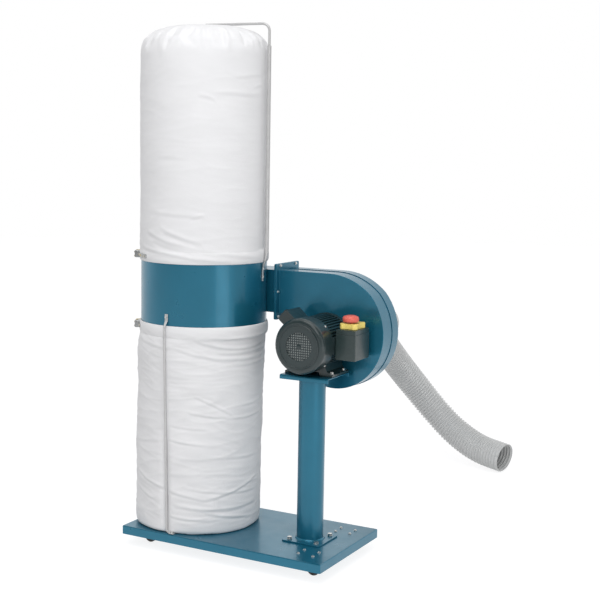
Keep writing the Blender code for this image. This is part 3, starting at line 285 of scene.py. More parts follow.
BLUE = enamel("blue_enamel", (0.011, 0.156, 0.248))
PAINTS = {
    "blue_paint": BLUE,
    "motor_paint": motor_paint("motor_grey", (0.010, 0.025, 0.027), 0.38),
    "motor_plastic": moulded(
        "motor_plastic", (0.011, 0.025, 0.027), 0.34, Coat_Weight=0.4, Coat_Roughness=0.15
    ),
    "switch_plastic": moulded(
        "switch_plastic", (0.020, 0.038, 0.038), 0.36, Coat_Weight=0.35, Coat_Roughness=0.18
    ),
    "zinc": plated("zinc_plate", (0.72, 0.72, 0.70)),
    "bearing_steel": plated("ground_steel", (0.45, 0.45, 0.46), 0.22),
    "impeller_aluminium": plated("cast_aluminium", (0.62, 0.62, 0.63), 0.42),
    "wheel_nylon": moulded("wheel_nylon", (0.012, 0.012, 0.013), 0.48),
    "yellow_plastic": moulded("yellow_plastic", (0.98, 0.76, 0.20), 0.36),
    "red_plastic": moulded("red_plastic", (0.80, 0.15, 0.11), 0.34),
    "green_plastic": moulded("green_plastic", (0.03, 0.30, 0.09), 0.36),
    "cuff_rubber": moulded("cuff_rubber", (0.035, 0.037, 0.038), 0.55),
    "bag_cloth": woven("filter_cloth", (0.83, 0.83, 0.845)),
    "hose_plastic": ribbed("hose_wall", (0.63, 0.64, 0.64)),
}
GRILLE_GREY = moulded("grille_grey", (0.30, 0.33, 0.33), 0.42)
PASSIVATED = plated("yellow_passivate", (0.58, 0.48, 0.26), 0.30, (0.52, 0.51, 0.48))
BAR_ZINC = plated("bar_zinc", (0.56, 0.56, 0.56), 0.36, metallic=0.35)
DULL_ZINC = plated("dull_zinc", (0.36, 0.37, 0.37), 0.26)


# ------------------------------------------------------------------ mesh building
def piece(name, mesh, paint, body, smooth=40.0):
    """A new object in place, with its material and the body that carries it."""
    made = bpy.data.objects.new(name, mesh)
    scene.collection.objects.link(made)
    mesh.materials.clear()
    mesh.materials.append(PAINTS[paint] if isinstance(paint, str) else paint)
    mesh.shade_smooth()
    mesh.set_sharp_from_angle(angle=math.radians(smooth))
    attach(made, body)
    return made


def mesh_of(name, verts, faces):
    mesh = bpy.data.meshes.new(name)
    mesh.from_pydata([tuple(v) for v in verts], [], faces)
    mesh.update()
    return mesh


def written(shape, mesh):
    """Puts a bmesh into its mesh and frees it."""
    shape.to_mesh(mesh)
    shape.free()
    return mesh


def modify(made, kind, **values):
    modifier = made.modifiers.new(kind.lower(), kind)
    for key, value in values.items():
        setattr(modifier, key, value)
    return modifier


def refined(node, bevel):
    """A CAD piece with its edges rounded, standing for the plain one."""
    source = frame["nodes"][node]
    slot = SLOTS[node]
    mesh = bpy.data.meshes.new(f"{node}_finish")
    shape = bmesh.new()
    shape.from_mesh(source.data)
    bmesh.ops.remove_doubles(shape, verts=shape.verts, dist=5e-6)
    bmesh.ops.dissolve_limit(shape, angle_limit=math.radians(0.6), verts=shape.verts, edges=shape.edges)
    written(shape, mesh)
    for left in [a.name for a in mesh.attributes if a.name.startswith("custom_normal")]:
        mesh.attributes.remove(mesh.attributes[left])
    made = piece(f"{node}_finish", mesh, slot, source["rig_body"])
    if bevel:
        values = {"width": bevel, "segments": 2, "limit_method": "ANGLE", "angle_limit": math.radians(38)}
        modify(made, "BEVEL", use_clamp_overlap=True, **values)
    modify(made, "WEIGHTED_NORMAL", keep_sharp=True, weight=50)
    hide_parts(node)
    return made


SLOTS = {entry["node"]: entry["material_slot"] for entry in frame["record"]["subparts"]}


def ring_mesh(name, rings, closed_ends=False):
    """Faces between rings of equally many points; the ends are open or filled."""
    steps = len(rings[0])
    verts = [p for ring in rings for p in ring]
    faces = []
    for i in range(len(rings) - 1):
        low, high = i * steps, (i + 1) * steps
        faces += [(low + k, low + (k + 1) % steps, high + (k + 1) % steps, high + k) for k in range(steps)]
    if closed_ends:
        faces += [tuple(range(steps))[::-1], tuple(range(len(verts) - steps, len(verts)))]
    return mesh_of(name, verts, faces)


def loop_mesh(name, rings):
    """A closed band: faces between rings and from the last ring back to the first."""
    mesh = ring_mesh(name, [*rings, rings[0]])
    shape = bmesh.new()
    shape.from_mesh(mesh)
    bmesh.ops.remove_doubles(shape, verts=shape.verts, dist=1e-6)
    bmesh.ops.recalc_face_normals(shape, faces=shape.faces)
    return written(shape, mesh)


def turned_rings(profile, steps, sides=None):
    """Rings of a turned shape about +Z, from (radius, height) pairs; sides makes them a polygon."""
    rings = []
    for radius, height in profile:
        ring = []
        for k in range(steps):
            a = 2 * math.pi * k / steps
            r = radius
            if sides and radius > 0:
                sector = 2 * math.pi / sides
                off = (a + sector / 2) % sector - sector / 2
                r = min(radius, radius * math.cos(sector / 2) / math.cos(off) * 1.0001)
            ring.append(Vector((r * math.cos(a), r * math.sin(a), height)))
        rings.append(ring)
    return rings


def bolt_rings(across, height, washer):
    """A washer, a hexagon head with its chamfer, and a shallow dish on top."""
    corner = across / 2 / math.cos(math.radians(30))
    rings = []
    if washer:
        sheet = 0.0012
        rings += turned_rings([(washer, -0.0004), (washer, sheet * 0.8), (washer - 0.0003, sheet)], 24)
        rings += turned_rings([(corner * 0.98, sheet)], 24, 6)
        height += sheet
    else:
        rings += turned_rings([(corner, -0.0004)], 24, 6)
    rings += turned_rings([(corner, height * 0.82)], 24, 6)
    dish = [(across * 0.49, height), (across * 0.30, height), (across * 0.27, height * 0.97)]
    rings += turned_rings(dish, 24)
    return rings


def screw_rings(head, height):
    """A low round screw head with a blunt recess."""
    profile = [(head, -0.0004), (head, height * 0.35), (head * 0.86, height * 0.75), (head * 0.55, height)]
    profile += [(head * 0.30, height), (head * 0.24, height * 0.55)]
    return turned_rings(profile, 20)


def fastener(name, at, normal, rings, paint="zinc", body="machine", spin=0.0):
    """A bolt or screw head at a point, standing along a direction."""
    turn = Vector(normal).to_track_quat("Z", "Y").to_matrix() @ Matrix.Rotation(spin, 3, "Z")
    placed = [[Vector(at) + turn @ p for p in ring] for ring in rings]
    return piece(name, ring_mesh(name, placed, True), paint, body, 32)


# ------------------------------------------------------------------ hose
def smooth_route(points, spacing):
    """Points at about this spacing on a Catmull-Rom curve through the given ones."""
    knots = [Vector(p) for p in points]
    knots = [knots[0] * 2 - knots[1]] + knots + [knots[-1] * 2 - knots[-2]]
    fine = []
    for p0, p1, p2, p3 in zip(knots, knots[1:], knots[2:], knots[3:]):
        for i in range(120):
            t = i / 120
            bend = (2 * p0 - 5 * p1 + 4 * p2 - p3) * t * t + (3 * p1 - p0 - 3 * p2 + p3) * t * t * t
            fine.append((2 * p1 + (p2 - p0) * t + bend) / 2)
    fine.append(knots[-2])
    fine = np.array(fine)
    along = np.concatenate([[0], np.cumsum(np.linalg.norm(np.diff(fine, axis=0), axis=1))])
    goals = np.linspace(0, along[-1], round(along[-1] / spacing) + 1)
    return np.stack([np.interp(goals, along, fine[:, i]) for i in range(3)], 1), goals


def make_hose():
    """A wire-helix hose: one thin wall whose ribs wind round it like a screw thread."""
    route = [BASE + Vector(p) for p in HOSE_ROUTE]
    points, along = smooth_route(route, RIB_PITCH / ROWS_PER_RIB)
    steps = 56
    side = Vector((1, 0, 0))
    rings = []
    for i, point in enumerate(points):
        ahead = Vector(points[min(i + 1, len(points) - 1)] - points[max(i - 1, 0)]).normalized()
        side = (side - ahead * side.dot(ahead)).normalized()
        up = ahead.cross(side)
        ring = []
        for k in range(steps):
            turn = k / steps
            phase = (along[i] / RIB_PITCH - turn) % 1.0
            crest = 0.5 + 0.5 * math.cos(2 * math.pi * phase)
            radius = HOSE_RADIUS - RIB_DEPTH * (1 - crest**0.85)
            a = 2 * math.pi * turn
            ring.append(Vector(point) + (side * math.cos(a) + up * math.sin(a)) * radius)
        rings.append(ring)
    hose = piece("ribbed_hose", ring_mesh("ribbed_hose", rings), "hose_plastic", "machine", 180)
    modify(hose, "SOLIDIFY", thickness=0.0016, offset=-1)
    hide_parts("hose")
    path = [tuple(p) for p in points[::ROWS_PER_RIB]] + [tuple(points[-1])]
    # The hose leaves a wide open cuff, so the first point of this path is put part of the way out to the
    # cuff's rim.
    path[0] = tuple(route[0] + Vector((0.0032, 0, 0)))


make_camera()
PLAIN_EDGE = 0.0003
EDGES = (
    (0.0004, "drum"),
    (0.0005, "motor_body"),
    (0.0006, "start_button stop_button"),
    (0.0008, "post_tube fan_cowl stop_mushroom"),
    (0.0009, "drum_duct volute_housing volute_cover motor_plate"),
    (0.0010, "post_foot"),
    (0.0012, "capacitor_box switch_box switch_lid"),
    (0.0016, "base_tray"),
)
BEVELS = {node: width for width, nodes in EDGES for node in nodes.split()}
SOFT = ("hose", "upper_bag", "lower_bag")
BARS = ("hanger_lower", "hanger_arm", "support_rod_1", "support_rod_2")
CAD = {
    node: refined(node, BEVELS.get(node, PLAIN_EDGE))
    for node in sorted(frame["nodes"])
    if node not in SOFT and node not in BARS
}
for node in BARS:
    bar = frame["nodes"][node].data
    bar.materials.clear()
    bar.materials.append(BAR_ZINC)
make_hose()


# ------------------------------------------------------------------ small fittings
CORNERS = ((-1, -1), (1, -1), (1, 1), (-1, 1))


def middle(node):
    low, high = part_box(node)
    return (low + high) / 2


def around(radius, azimuth, height):
    """A point beside the drum's axis, and its outward direction."""
    a = math.radians(azimuth)
    out = Vector((math.cos(a), math.sin(a), 0))
    return DRUM_AXIS + out * radius + Vector((0, 0, height)), out


def make_castor_screws():
    """Four screws a castor through the tray; the bag's foot hides those beside it."""
    reach_x, reach_y = 0.030, 0.024
    for node in CASTOR_PLATES:
        centre = middle(node)
        for i, (a, b) in enumerate(CORNERS):
            at = Vector((centre.x + a * reach_x, centre.y + b * reach_y, TRAY_HIGH.z))
            if (at - DRUM_AXIS).xy.length > DRUM_RADIUS:
                fastener(f"{node}_screw_{i + 1}", at, (0, 0, 1), bolt_rings(0.0085, 0.0034, 0.0062), spin=i)


def make_motor_bolts():
    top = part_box("motor_body")[0].z + 0.0075
    for i, (x, y) in enumerate(((-1, -0.020), (-1, 0.076), (1, -0.020), (1, 0.076))):
        at = Vector((POST_X + x * 0.0885, MOTOR_AXIS.y + y, top))
        fastener(f"motor_bolt_{i + 1}", at, (0, 0, 1), bolt_rings(0.0120, 0.0100, 0.0098), spin=0.3 * i)


def make_flange_bolts():
    """Bolts round the window of the duct's flange: heads on the blower's side, nuts on the duct's."""
    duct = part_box("drum_duct")
    blower = duct[1].x + 0.0003 + 0.005
    places = ((0.030, -0.008), (0.151, -0.008), (0.013, -0.107))
    places += ((0.166, -0.107), (0.017, -0.203), (0.160, -0.203))
    corner = Vector((0, duct[0].y, duct[1].z))
    for i, (y, z) in enumerate(places):
        at = corner + Vector((blower, y, z))
        fastener(f"flange_bolt_{i + 1}", at, (1, 0, 0), bolt_rings(0.0085, 0.0042, 0.0064), spin=0.4 * i)
        at = corner + Vector((duct[1].x - 0.005, y, z))
        fastener(f"flange_nut_{i + 1}", at, (-1, 0, 0), bolt_rings(0.0090, 0.0050, 0.0064), spin=0.5 * i)


def make_cowl_screws():
    low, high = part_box("fan_cowl")
    radius = (high.x - low.x) / 2
    for i, angle in enumerate((45, 135, 225, 315)):
        a = math.radians(angle)
        out = Vector((math.cos(a), 0, math.sin(a)))
        at = Vector((MOTOR_AXIS.x, high.y - 0.010, MOTOR_AXIS.z)) + out * (radius - 0.0004)
        fastener(f"cowl_screw_{i + 1}", at, out, screw_rings(0.0046, 0.0026))


def make_bracket_screws():
    """Screws of the hanger's foot and the rods' tops on the drum, and of the rods' feet on the tray."""
    sheet = 0.0033
    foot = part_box("hanger_lower")[0].z
    for i, height in enumerate((0.016, 0.046)):
        at, out = around(DRUM_RADIUS + sheet, HANGER_AZIMUTH, foot + height)
        fastener(f"hanger_screw_{i + 1}", at, out, bolt_rings(0.0080, 0.0036, None), spin=0.4 * i)
    for i, azimuth in enumerate(ROD_AZIMUTHS):
        low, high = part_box(f"support_rod_{i + 1}")
        at, out = around(DRUM_RADIUS + sheet, azimuth, high.z - 0.012)
        fastener(f"rod_bolt_{i + 1}", at, out, bolt_rings(0.0085, 0.0042, None), spin=0.2)
        along = Vector((-out.y, out.x, 0))
        at = DRUM_AXIS + out * ROD_FOOT + along * 0.025 + Vector((0, 0, low.z + 0.003))
        fastener(f"rod_foot_bolt_{i + 1}", at, (0, 0, 1), bolt_rings(0.0085, 0.0040, None), spin=0.5)


def make_grille():
    """A punched sheet in the cowl's round opening, a pale dust screen behind it and a plain boss."""
    pitch, hole, sheet = 0.0088, 0.0056, 0.0010
    radius, behind = 0.0560, 0.0026
    cowl_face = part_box("fan_cowl")[0].y
    at = Vector((MOTOR_AXIS.x, cowl_face + 0.002 + behind, MOTOR_AXIS.z))
    shape = bmesh.new()
    steps = int(radius / pitch) + 1
    for i in range(-steps, steps):
        for j in range(-steps, steps):
            x, z = (i + 0.5) * pitch, (j + 0.5) * pitch
            if math.hypot(x, z) > radius:
                continue
            outer = [shape.verts.new((x + a * pitch / 2, 0, z + b * pitch / 2)) for a, b in CORNERS]
            inner = [shape.verts.new((x + a * hole / 2, 0, z + b * hole / 2)) for a, b in CORNERS]
            for k in range(4):
                n = (k + 1) % 4
                shape.faces.new((outer[k], outer[n], inner[n], inner[k]))
    bmesh.ops.remove_doubles(shape, verts=shape.verts, dist=1e-5)
    mesh = bpy.data.meshes.new("fan_grille")
    written(shape, mesh)
    mesh.transform(Matrix.Translation(at))
    grille = piece("fan_grille", mesh, "motor_plastic", "machine")
    modify(grille, "SOLIDIFY", thickness=sheet, offset=0)
    boss = [(0.0085, -0.001), (0.0085, 0.0010), (0.0070, 0.0018), (0.0030, 0.0022), (0.0010, 0.0022)]
    screen = [(radius, -0.0026), (radius, -0.0014), (radius - 0.0004, -0.0012)]
    fastener("grille_screen", at, (0, -1, 0), turned_rings(screen, 48), GRILLE_GREY)
    fastener("grille_boss", at, (0, -1, 0), turned_rings(boss, 24), "motor_paint")
    bead = [(0.0755, -0.0004), (0.0768, 0.0018), (0.0802, 0.0018), (0.0818, -0.0004)]
    turn = Vector((0, -1, 0)).to_track_quat("Z", "Y").to_matrix()
    face = Vector((MOTOR_AXIS.x, cowl_face, MOTOR_AXIS.z))
    rings = [[face + turn @ p for p in ring] for ring in turned_rings(bead, 96)]
    piece("cowl_bead", loop_mesh("cowl_bead", rings), "motor_plastic", "machine", 50)


def make_buckle(label):
    """The band clamp's ends: a folded saddle each side of the cross bolt, and the strap's riveted tail."""
    band = middle(f"clamp_band_{label}")
    height = band.z
    seat = SLEEVE_RADIUS - 0.0010
    length = DRUM_RADIUS
    for side, name in ((-1, "near"), (1, "far")):
        azimuth = CLAMP_AZIMUTH + side * math.degrees(0.0200 / length)
        at, out = around(seat, azimuth, height)
        along = Vector((-out.y, out.x, 0))
        profile = [(-0.0100, 0.0), (-0.0100, 0.0125), (-0.0055, 0.0195), (0.0055, 0.0195), (0.0100, 0.0125)]
        profile += [(0.0100, 0.0)]
        rings = []
        for rise in (-0.0135, -0.0118, 0.0118, 0.0135):
            shrink = 0.0017 if abs(rise) > 0.012 else 0
            ring = []
            for across, away in profile:
                away = max(0.0, away - shrink)
                across -= math.copysign(shrink, across)
                ring.append(at + along * across + out * away + Vector((0, 0, rise)))
            rings.append(ring)
        paint = DULL_ZINC if side > 0 else PASSIVATED
        mesh = ring_mesh("saddle", rings, True)
        saddle = piece(f"clamp_saddle_{label}_{name}", mesh, paint, "machine", 30)
        modify(saddle, "BEVEL", width=0.0008, segments=2, limit_method="ANGLE")
        for rise in (-0.0075, 0.0075):
            rivet = at + out * 0.0195 + Vector((0, 0, rise))
            plain = PASSIVATED if side > 0 else DULL_ZINC
            title = f"saddle_rivet_{label}_{name}_{rise > 0:d}"
            fastener(title, rivet, out, screw_rings(0.0036, 0.0022), plain)
    tail = []
    last = STRAP_STEPS[label]
    for i in range(last + 1):
        azimuth = CLAMP_AZIMUTH + math.degrees((0.028 + 0.006 * i) / length)
        at, out = around(seat + 0.0024, azimuth, height)
        half = 0.0080 if i < last else 0.0055
        sheet = 0.0009
        corners = ((-half, -sheet), (half, -sheet), (half, sheet), (-half, sheet))
        tail.append([at + out * away + Vector((0, 0, rise)) for rise, away in corners])
    piece(f"clamp_strap_{label}", ring_mesh("strap", tail, True), DULL_ZINC, "machine", 40)
    for i, along in enumerate(np.arange(0.041, 0.028 + 0.006 * last - 0.008, 0.021)):
        at, out = around(seat + 0.0032, CLAMP_AZIMUTH + math.degrees(along / length), height)
        fastener(f"clamp_rivet_{label}_{i + 1}", at, out, screw_rings(0.0042, 0.0018), PASSIVATED)


def make_mushroom_skirt():
    """The deep rounded rim of the stop mushroom's head; it stays clear of the cover when pressed."""
    low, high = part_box("stop_mushroom")
    radius = (high.x - low.x) / 2
    seat = Vector(((low.x + high.x) / 2, (low.y + high.y) / 2, high.z - 0.0295))
    shape = ((0.80, 0.0060), (0.92, 0.0055), (0.975, 0.0075))
    shape += ((1.0, 0.0140), (0.985, 0.0196), (0.80, 0.0190))
    rings = turned_rings([(radius * share, height) for share, height in shape], 64)
    placed = [[seat + p for p in ring] for ring in rings]
    body = frame["nodes"]["stop_mushroom"]["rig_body"]
    piece("stop_mushroom_skirt", loop_mesh("stop_mushroom_skirt", placed), "red_plastic", body, 60)


def make_weld(name, at, radius, bead, top):
    """A ring of weld round the post, its surface rippled by the stitches."""
    steps, section = 120, 8
    rings = []
    for i in range(steps):
        a = 2 * math.pi * i / steps
        ripple = 1 + 0.16 * math.sin(a * 46) * math.sin(a * 46)
        out = Vector((math.cos(a), math.sin(a), 0))
        ring = []
        for k in range(section):
            b = 2 * math.pi * k / section
            away = bead * ripple * math.cos(b)
            lift = Vector((0, 0, top * bead * ripple * math.sin(b)))
            ring.append(Vector(at) + out * (radius + away) + lift)
        rings.append(ring)
    verts = [p for ring in rings for p in ring]
    faces = []
    for i in range(steps):
        low, high = i * section, (i + 1) % steps * section
        for k in range(section):
            n = (k + 1) % section
            faces.append((low + k, high + k, high + n, low + n)[:: int(top)])
    piece(name, mesh_of(name, verts, faces), "blue_paint", "machine", 60)


def make_capacitor_lid():
    """The moulded lid round the capacitor box's front edge."""
    source = CAD["capacitor_box"].data
    points = [v.co for v in source.vertices]
    front = min(p.y for p in points)
    centre = middle("capacitor_box")
    ring = [p for p in points if p.y > front + 0.02]
    ring.sort(key=lambda p: math.atan2(p.z - centre.z, p.x - centre.x))
    kept = []
    for p in ring:
        flat = Vector((p.x, 0, p.z))
        if not kept or (flat - kept[-1]).length > 0.0008:
            kept.append(flat)
    mid = Vector((centre.x, 0, centre.z))
    rings = []
    profile = ((-0.0012, -0.003), (-0.0012, 0.0002), (0.0, 0.0014), (0.016, 0.0014), (0.0165, -0.001))
    for along, grow in profile:
        ring = []
        for p in kept:
            out = (p - mid).normalized()
            ring.append(p + out * grow + Vector((0, front + along, 0)))
        rings.append(ring)
    piece("capacitor_lid", ring_mesh("capacitor_lid", rings, True), "motor_plastic", "machine", 35)


HANGER_AZIMUTH = 8.0
ROD_AZIMUTHS = (-92.0, 112.0)
ROD_FOOT = 0.2365
CLAMP_AZIMUTH = 209.0
STRAP_STEPS = {"upper": 19, "lower": 7}
SLEEVE_RADIUS = (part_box("clamp_band_upper")[1].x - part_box("clamp_band_upper")[0].x) / 2 + 0.0012
CASTOR_PLATES = [node for node in sorted(frame["nodes"]) if node.startswith("castor_plate")]
make_castor_screws()
make_motor_bolts()
make_flange_bolts()
make_cowl_screws()
make_bracket_screws()
make_grille()
make_mushroom_skirt()
make_buckle("upper")
make_buckle("lower")
post_low, post_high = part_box("post_tube")
post_radius = (post_high.x - post_low.x) / 2
make_weld("post_top_weld", (POST_X, POST_Y, post_high.z - 0.0015), post_radius + 0.0002, 0.0026, -1)
make_capacitor_lid()


# ------------------------------------------------------------------ cloth bags
BAG_STEPS = 168
HEM_SEAT = DRUM_RADIUS + 0.0008
UPPER_LOW, UPPER_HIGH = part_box("upper_bag")
LOWER_LOW, LOWER_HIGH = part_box("lower_bag")
CLOTH_RADIUS = (UPPER_HIGH.x - UPPER_LOW.x) / 2 - 0.0006
FARTHEST_MOVE = 0.075  # the most that simulated cloth may move
LEAN = 0.021  # how far the lower bag's foot stands to the left of the drum


def hem_rows(edge, seam):
    """The sewn sleeve that hides the band clamp, from its free edge to its seam, as (radius, height)."""
    rise = seam - edge
    shape = ((0.0, HEM_SEAT), (0.02, HEM_SEAT + 0.0028))
    shape += ((0.10, SLEEVE_RADIUS - 0.0016), (0.26, SLEEVE_RADIUS))
    shape += ((0.44, SLEEVE_RADIUS + 0.0004), (0.62, SLEEVE_RADIUS), (0.78, SLEEVE_RADIUS - 0.0010))
    shape += ((0.90, SLEEVE_RADIUS - 0.0020), (0.97, CLOTH_RADIUS + 0.0004), (1.0, CLOTH_RADIUS))
    return [(radius, edge + rise * share) for share, radius in shape]


def upper_rows():
    """Hem, straight side and the flat disc on top, before any air is in the bag."""
    rows = hem_rows(UPPER_LOW.z, UPPER_LOW.z + 0.0449)
    pinned = len(rows)
    top = UPPER_HIGH.z - 0.048
    rows += [(CLOTH_RADIUS, z) for z in np.arange(rows[-1][1] + 0.009, top, 0.0096)]
    rows += [(r, top) for r in np.arange(CLOTH_RADIUS - 0.006, 0.012, -0.0105)]
    return rows, pinned


def lower_rows():
    """Hem, side and the round bottom on the tray."""
    rows = hem_rows(LOWER_HIGH.z, LOWER_HIGH.z - 0.0449)
    pinned = len(rows)
    floor = LOWER_LOW.z + 0.0006
    foot, corner = 0.2420, 0.014
    start = rows[-1][1]
    count = round((start - floor - corner) / 0.0074)
    for i in range(1, count + 1):
        share = i / count
        radius = CLOTH_RADIUS + (foot - CLOTH_RADIUS) * share
        rows.append((radius, start + (floor + corner - start) * share))
    for i in range(1, 4):
        a = math.radians(30 * i)
        rows.append((foot - corner + corner * math.cos(a), floor + corner - corner * math.sin(a)))
    rows += [(r, floor) for r in np.arange(foot - corner - 0.010, 0.012, -0.0125)]
    return rows, pinned, floor


def bag_mesh(name, rows, middle):
    """Rings about the drum's axis, closed at their far end with a fan round one point."""
    rings = turned_rings(rows, BAG_STEPS)
    verts = [p for ring in rings for p in ring] + [Vector((0, 0, middle))]
    faces = []
    outward = 1 if rows[-1][1] > rows[0][1] else -1
    for i in range(len(rings) - 1):
        low, high = i * BAG_STEPS, (i + 1) * BAG_STEPS
        for k in range(BAG_STEPS):
            j = (k + 1) % BAG_STEPS
            faces.append((low + k, low + j, high + j, high + k)[::outward])
    last = (len(rings) - 1) * BAG_STEPS
    faces += [(last + k, last + (k + 1) % BAG_STEPS, len(verts) - 1)[::outward] for k in range(BAG_STEPS)]
    return mesh_of(name, verts, faces)


def points_of(mesh):
    flat = np.empty(len(mesh.vertices) * 3)
    mesh.vertices.foreach_get("co", flat)
    return flat.reshape(-1, 3)


def set_points(mesh, points):
    mesh.vertices.foreach_set("co", points.ravel())
    mesh.update()


def settle(mesh, fixed, rest, pressure, frames, bending):
    """Lets the cloth find its folds: it starts at its points and has as much cloth as the rest shape."""
    start = points_of(mesh)
    actor = bpy.data.objects.new("cloth_actor", mesh.copy())
    scene.collection.objects.link(actor)
    actor.shape_key_add(name="Basis")
    key = actor.shape_key_add(name="rest")
    key.data.foreach_set("co", rest.ravel())
    group = actor.vertex_groups.new(name="fixed")
    group.add([int(i) for i in np.flatnonzero(fixed)], 1.0, "REPLACE")
    cloth = modify(actor, "CLOTH")
    values = cloth.settings
    values.vertex_group_mass = "fixed"
    values.rest_shape_key = key
    values.quality, values.mass = 5, 0.1
    values.tension_stiffness = values.compression_stiffness = 40
    values.shear_stiffness, values.bending_stiffness = 12, bending
    values.tension_damping = values.compression_damping = values.shear_damping = 8
    values.bending_damping, values.air_damping = 0.5, 1
    values.use_pressure, values.uniform_pressure_force = True, pressure
    values.effector_weights.gravity = 0
    cloth.collision_settings.use_collision = False
    cloth.point_cache.frame_start = 1
    cloth.point_cache.frame_end = frames
    for number in range(1, frames + 1):
        scene.frame_set(number)
    shape = actor.evaluated_get(bpy.context.evaluated_depsgraph_get()).to_mesh()
    settled = points_of(shape)
    scene.frame_set(1)
    bpy.data.objects.remove(actor)
    moved = settled - start
    far = np.linalg.norm(moved, axis=1, keepdims=True)
    return start + moved * np.minimum(1.0, FARTHEST_MOVE / np.maximum(far, 1e-9))


def rumpled(points, free, amount, scale):
    """Small uneven offsets along each point's own direction, so that folds don't start in step."""
    made = points.copy()
    for i in np.flatnonzero(free):
        p = Vector(points[i])
        flat = Vector((p.x, p.y, 0))
        out = flat.normalized() if flat.length > CLOTH_RADIUS * 0.93 else Vector((0, 0, 1))
        made[i] += np.array(out) * amount * noise.noise(p * scale)
    return made


def azimuths(points):
    return np.arctan2(points[:, 1], points[:, 0])


def finer(mesh, points):
    """The same cloth with each face split in four and rounded, ready for its creases."""
    set_points(mesh, points)
    holder = bpy.data.objects.new("cloth_holder", mesh)
    scene.collection.objects.link(holder)
    modify(holder, "SUBSURF", levels=1)
    made = bpy.data.meshes.new_from_object(holder.evaluated_get(bpy.context.evaluated_depsgraph_get()))
    bpy.data.objects.remove(holder)
    points = points_of(made)
    out = np.empty(len(points) * 3)
    made.vertices.foreach_get("normal", out)
    out = out.reshape(-1, 3)
    if (out[:, :2] * points[:, :2]).sum() < 0:
        out = -out
    return made, points, out


def wrinkled(points, out, weight, amount, shift):
    """Small level creases with sharp tops, on broader soft waves."""
    offset = Vector((shift, -shift, shift))
    for i in np.flatnonzero(weight > 0.01):
        p = Vector(points[i])
        drift = noise.noise(p * 3.4 + offset) * 0.045
        sharp = 1 - abs(noise.noise(Vector((p.x * 4.2, p.y * 4.2, (p.z + drift) * 21)) + offset)) * 2.6
        thin = 1 - abs(noise.noise(Vector((p.x * 7, p.y * 7, (p.z - drift * 1.5) * 38)) - offset)) * 2.4
        broad = noise.noise(Vector((p.x * 2.6, p.y * 2.6, (p.z + drift * 2) * 9)) - offset)
        height = 0.8 * max(0.0, sharp) ** 1.8 + 0.6 * max(0.0, thin) ** 1.6 + 0.5 * broad
        points[i] += out[i] * (weight[i] * amount * height)


def creased(points, out, folds):
    """Long folds, each a ridge with a groove under it, from one azimuth and height to another."""
    turn = np.degrees(azimuths(points))
    for begin, low, end, high, bow, depth, width in folds:
        share = ((turn - begin + 180) % 360 - 180) / (end - begin)
        found = (share > 0) & (share < 1) & (np.abs(points[:, 2] - (low + high) / 2) < 0.25)
        t = share[found]
        away = (points[found, 2] - (low + (high - low) * t + bow * 4 * t * (1 - t))) / width
        shape = np.exp(-(away**2)) - 0.75 * np.exp(-((away + 1.7) ** 2))
        points[found] += out[found] * (depth * np.sin(np.pi * t) ** 0.6 * shape)[:, None]


def turned_off(points, azimuth):
    """How far round the bag each point is from an azimuth, in metres along the cloth."""
    off = (azimuths(points) - math.radians(azimuth) + math.pi) % (2 * math.pi) - math.pi
    return off * CLOTH_RADIUS


def pressed_in(points, azimuth, limit_of, width):
    """Keeps the cloth behind a rod: no further out than limit_of(height) there, easing off beside it."""
    flat = np.hypot(points[:, 0], points[:, 1])
    share = np.exp(-((turned_off(points, azimuth) / width) ** 2))
    over = np.maximum(0, flat - limit_of(points[:, 2])) * share
    scale = (flat - over) / np.maximum(flat, 1e-6)
    points[:, 0] *= scale
    points[:, 1] *= scale


def kept_off(points, band, edge):
    """Keeps the hem's cloth outside the clamp band, and outside the drum down or up to its free edge."""
    low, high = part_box(band)
    flat = np.hypot(points[:, 0], points[:, 1])
    over_band = (points[:, 2] > low.z - 0.005) & (points[:, 2] < high.z + 0.005)
    over_drum = (np.abs(points[:, 2] - edge) < 0.048) & (points[:, 2] > DRUM_LOW.z)
    over_drum &= points[:, 2] < DRUM_HIGH.z
    least = np.where(over_band, SLEEVE_RADIUS - 0.0004, np.where(over_drum, HEM_SEAT, 0))
    scale = np.maximum(flat, least) / np.maximum(flat, 1e-6)
    points[:, 0] *= scale
    points[:, 1] *= scale


def finished_bag(name, mesh, points, node):
    set_points(mesh, points)
    mesh.materials.clear()
    made = bpy.data.objects.new(name, mesh)
    scene.collection.objects.link(made)
    made.location = DRUM_AXIS
    mesh.materials.append(PAINTS["bag_cloth"])
    mesh.shade_smooth()
    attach(made, "machine")
    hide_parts(node)
    return made


def pucker(points, out):
    """Gathers that run down from the round top's seam, some long and some short."""
    turn = azimuths(points)
    down = UPPER_HIGH.z - points[:, 2]
    wave = np.zeros(len(points))
    for count, phase, weight in ((19, 0.4, 1.0), (31, 2.1, 0.9), (47, 4.0, 0.6)):
        wave += weight * np.cos(count * turn + phase + 1.3 * np.sin(3 * turn + phase))
    reach = 0.085 + 0.030 * np.sin(7 * turn + 1.0) + 0.018 * np.sin(17 * turn)
    share = np.clip((down - 0.010) / 0.020, 0, 1) * np.clip((reach - down) / 0.045, 0, 1)
    ridge = np.maximum(0, wave) ** 0.8 - 0.5 * np.maximum(0, -wave) ** 0.8
    points += out * (0.0024 * share * ridge)[:, None]


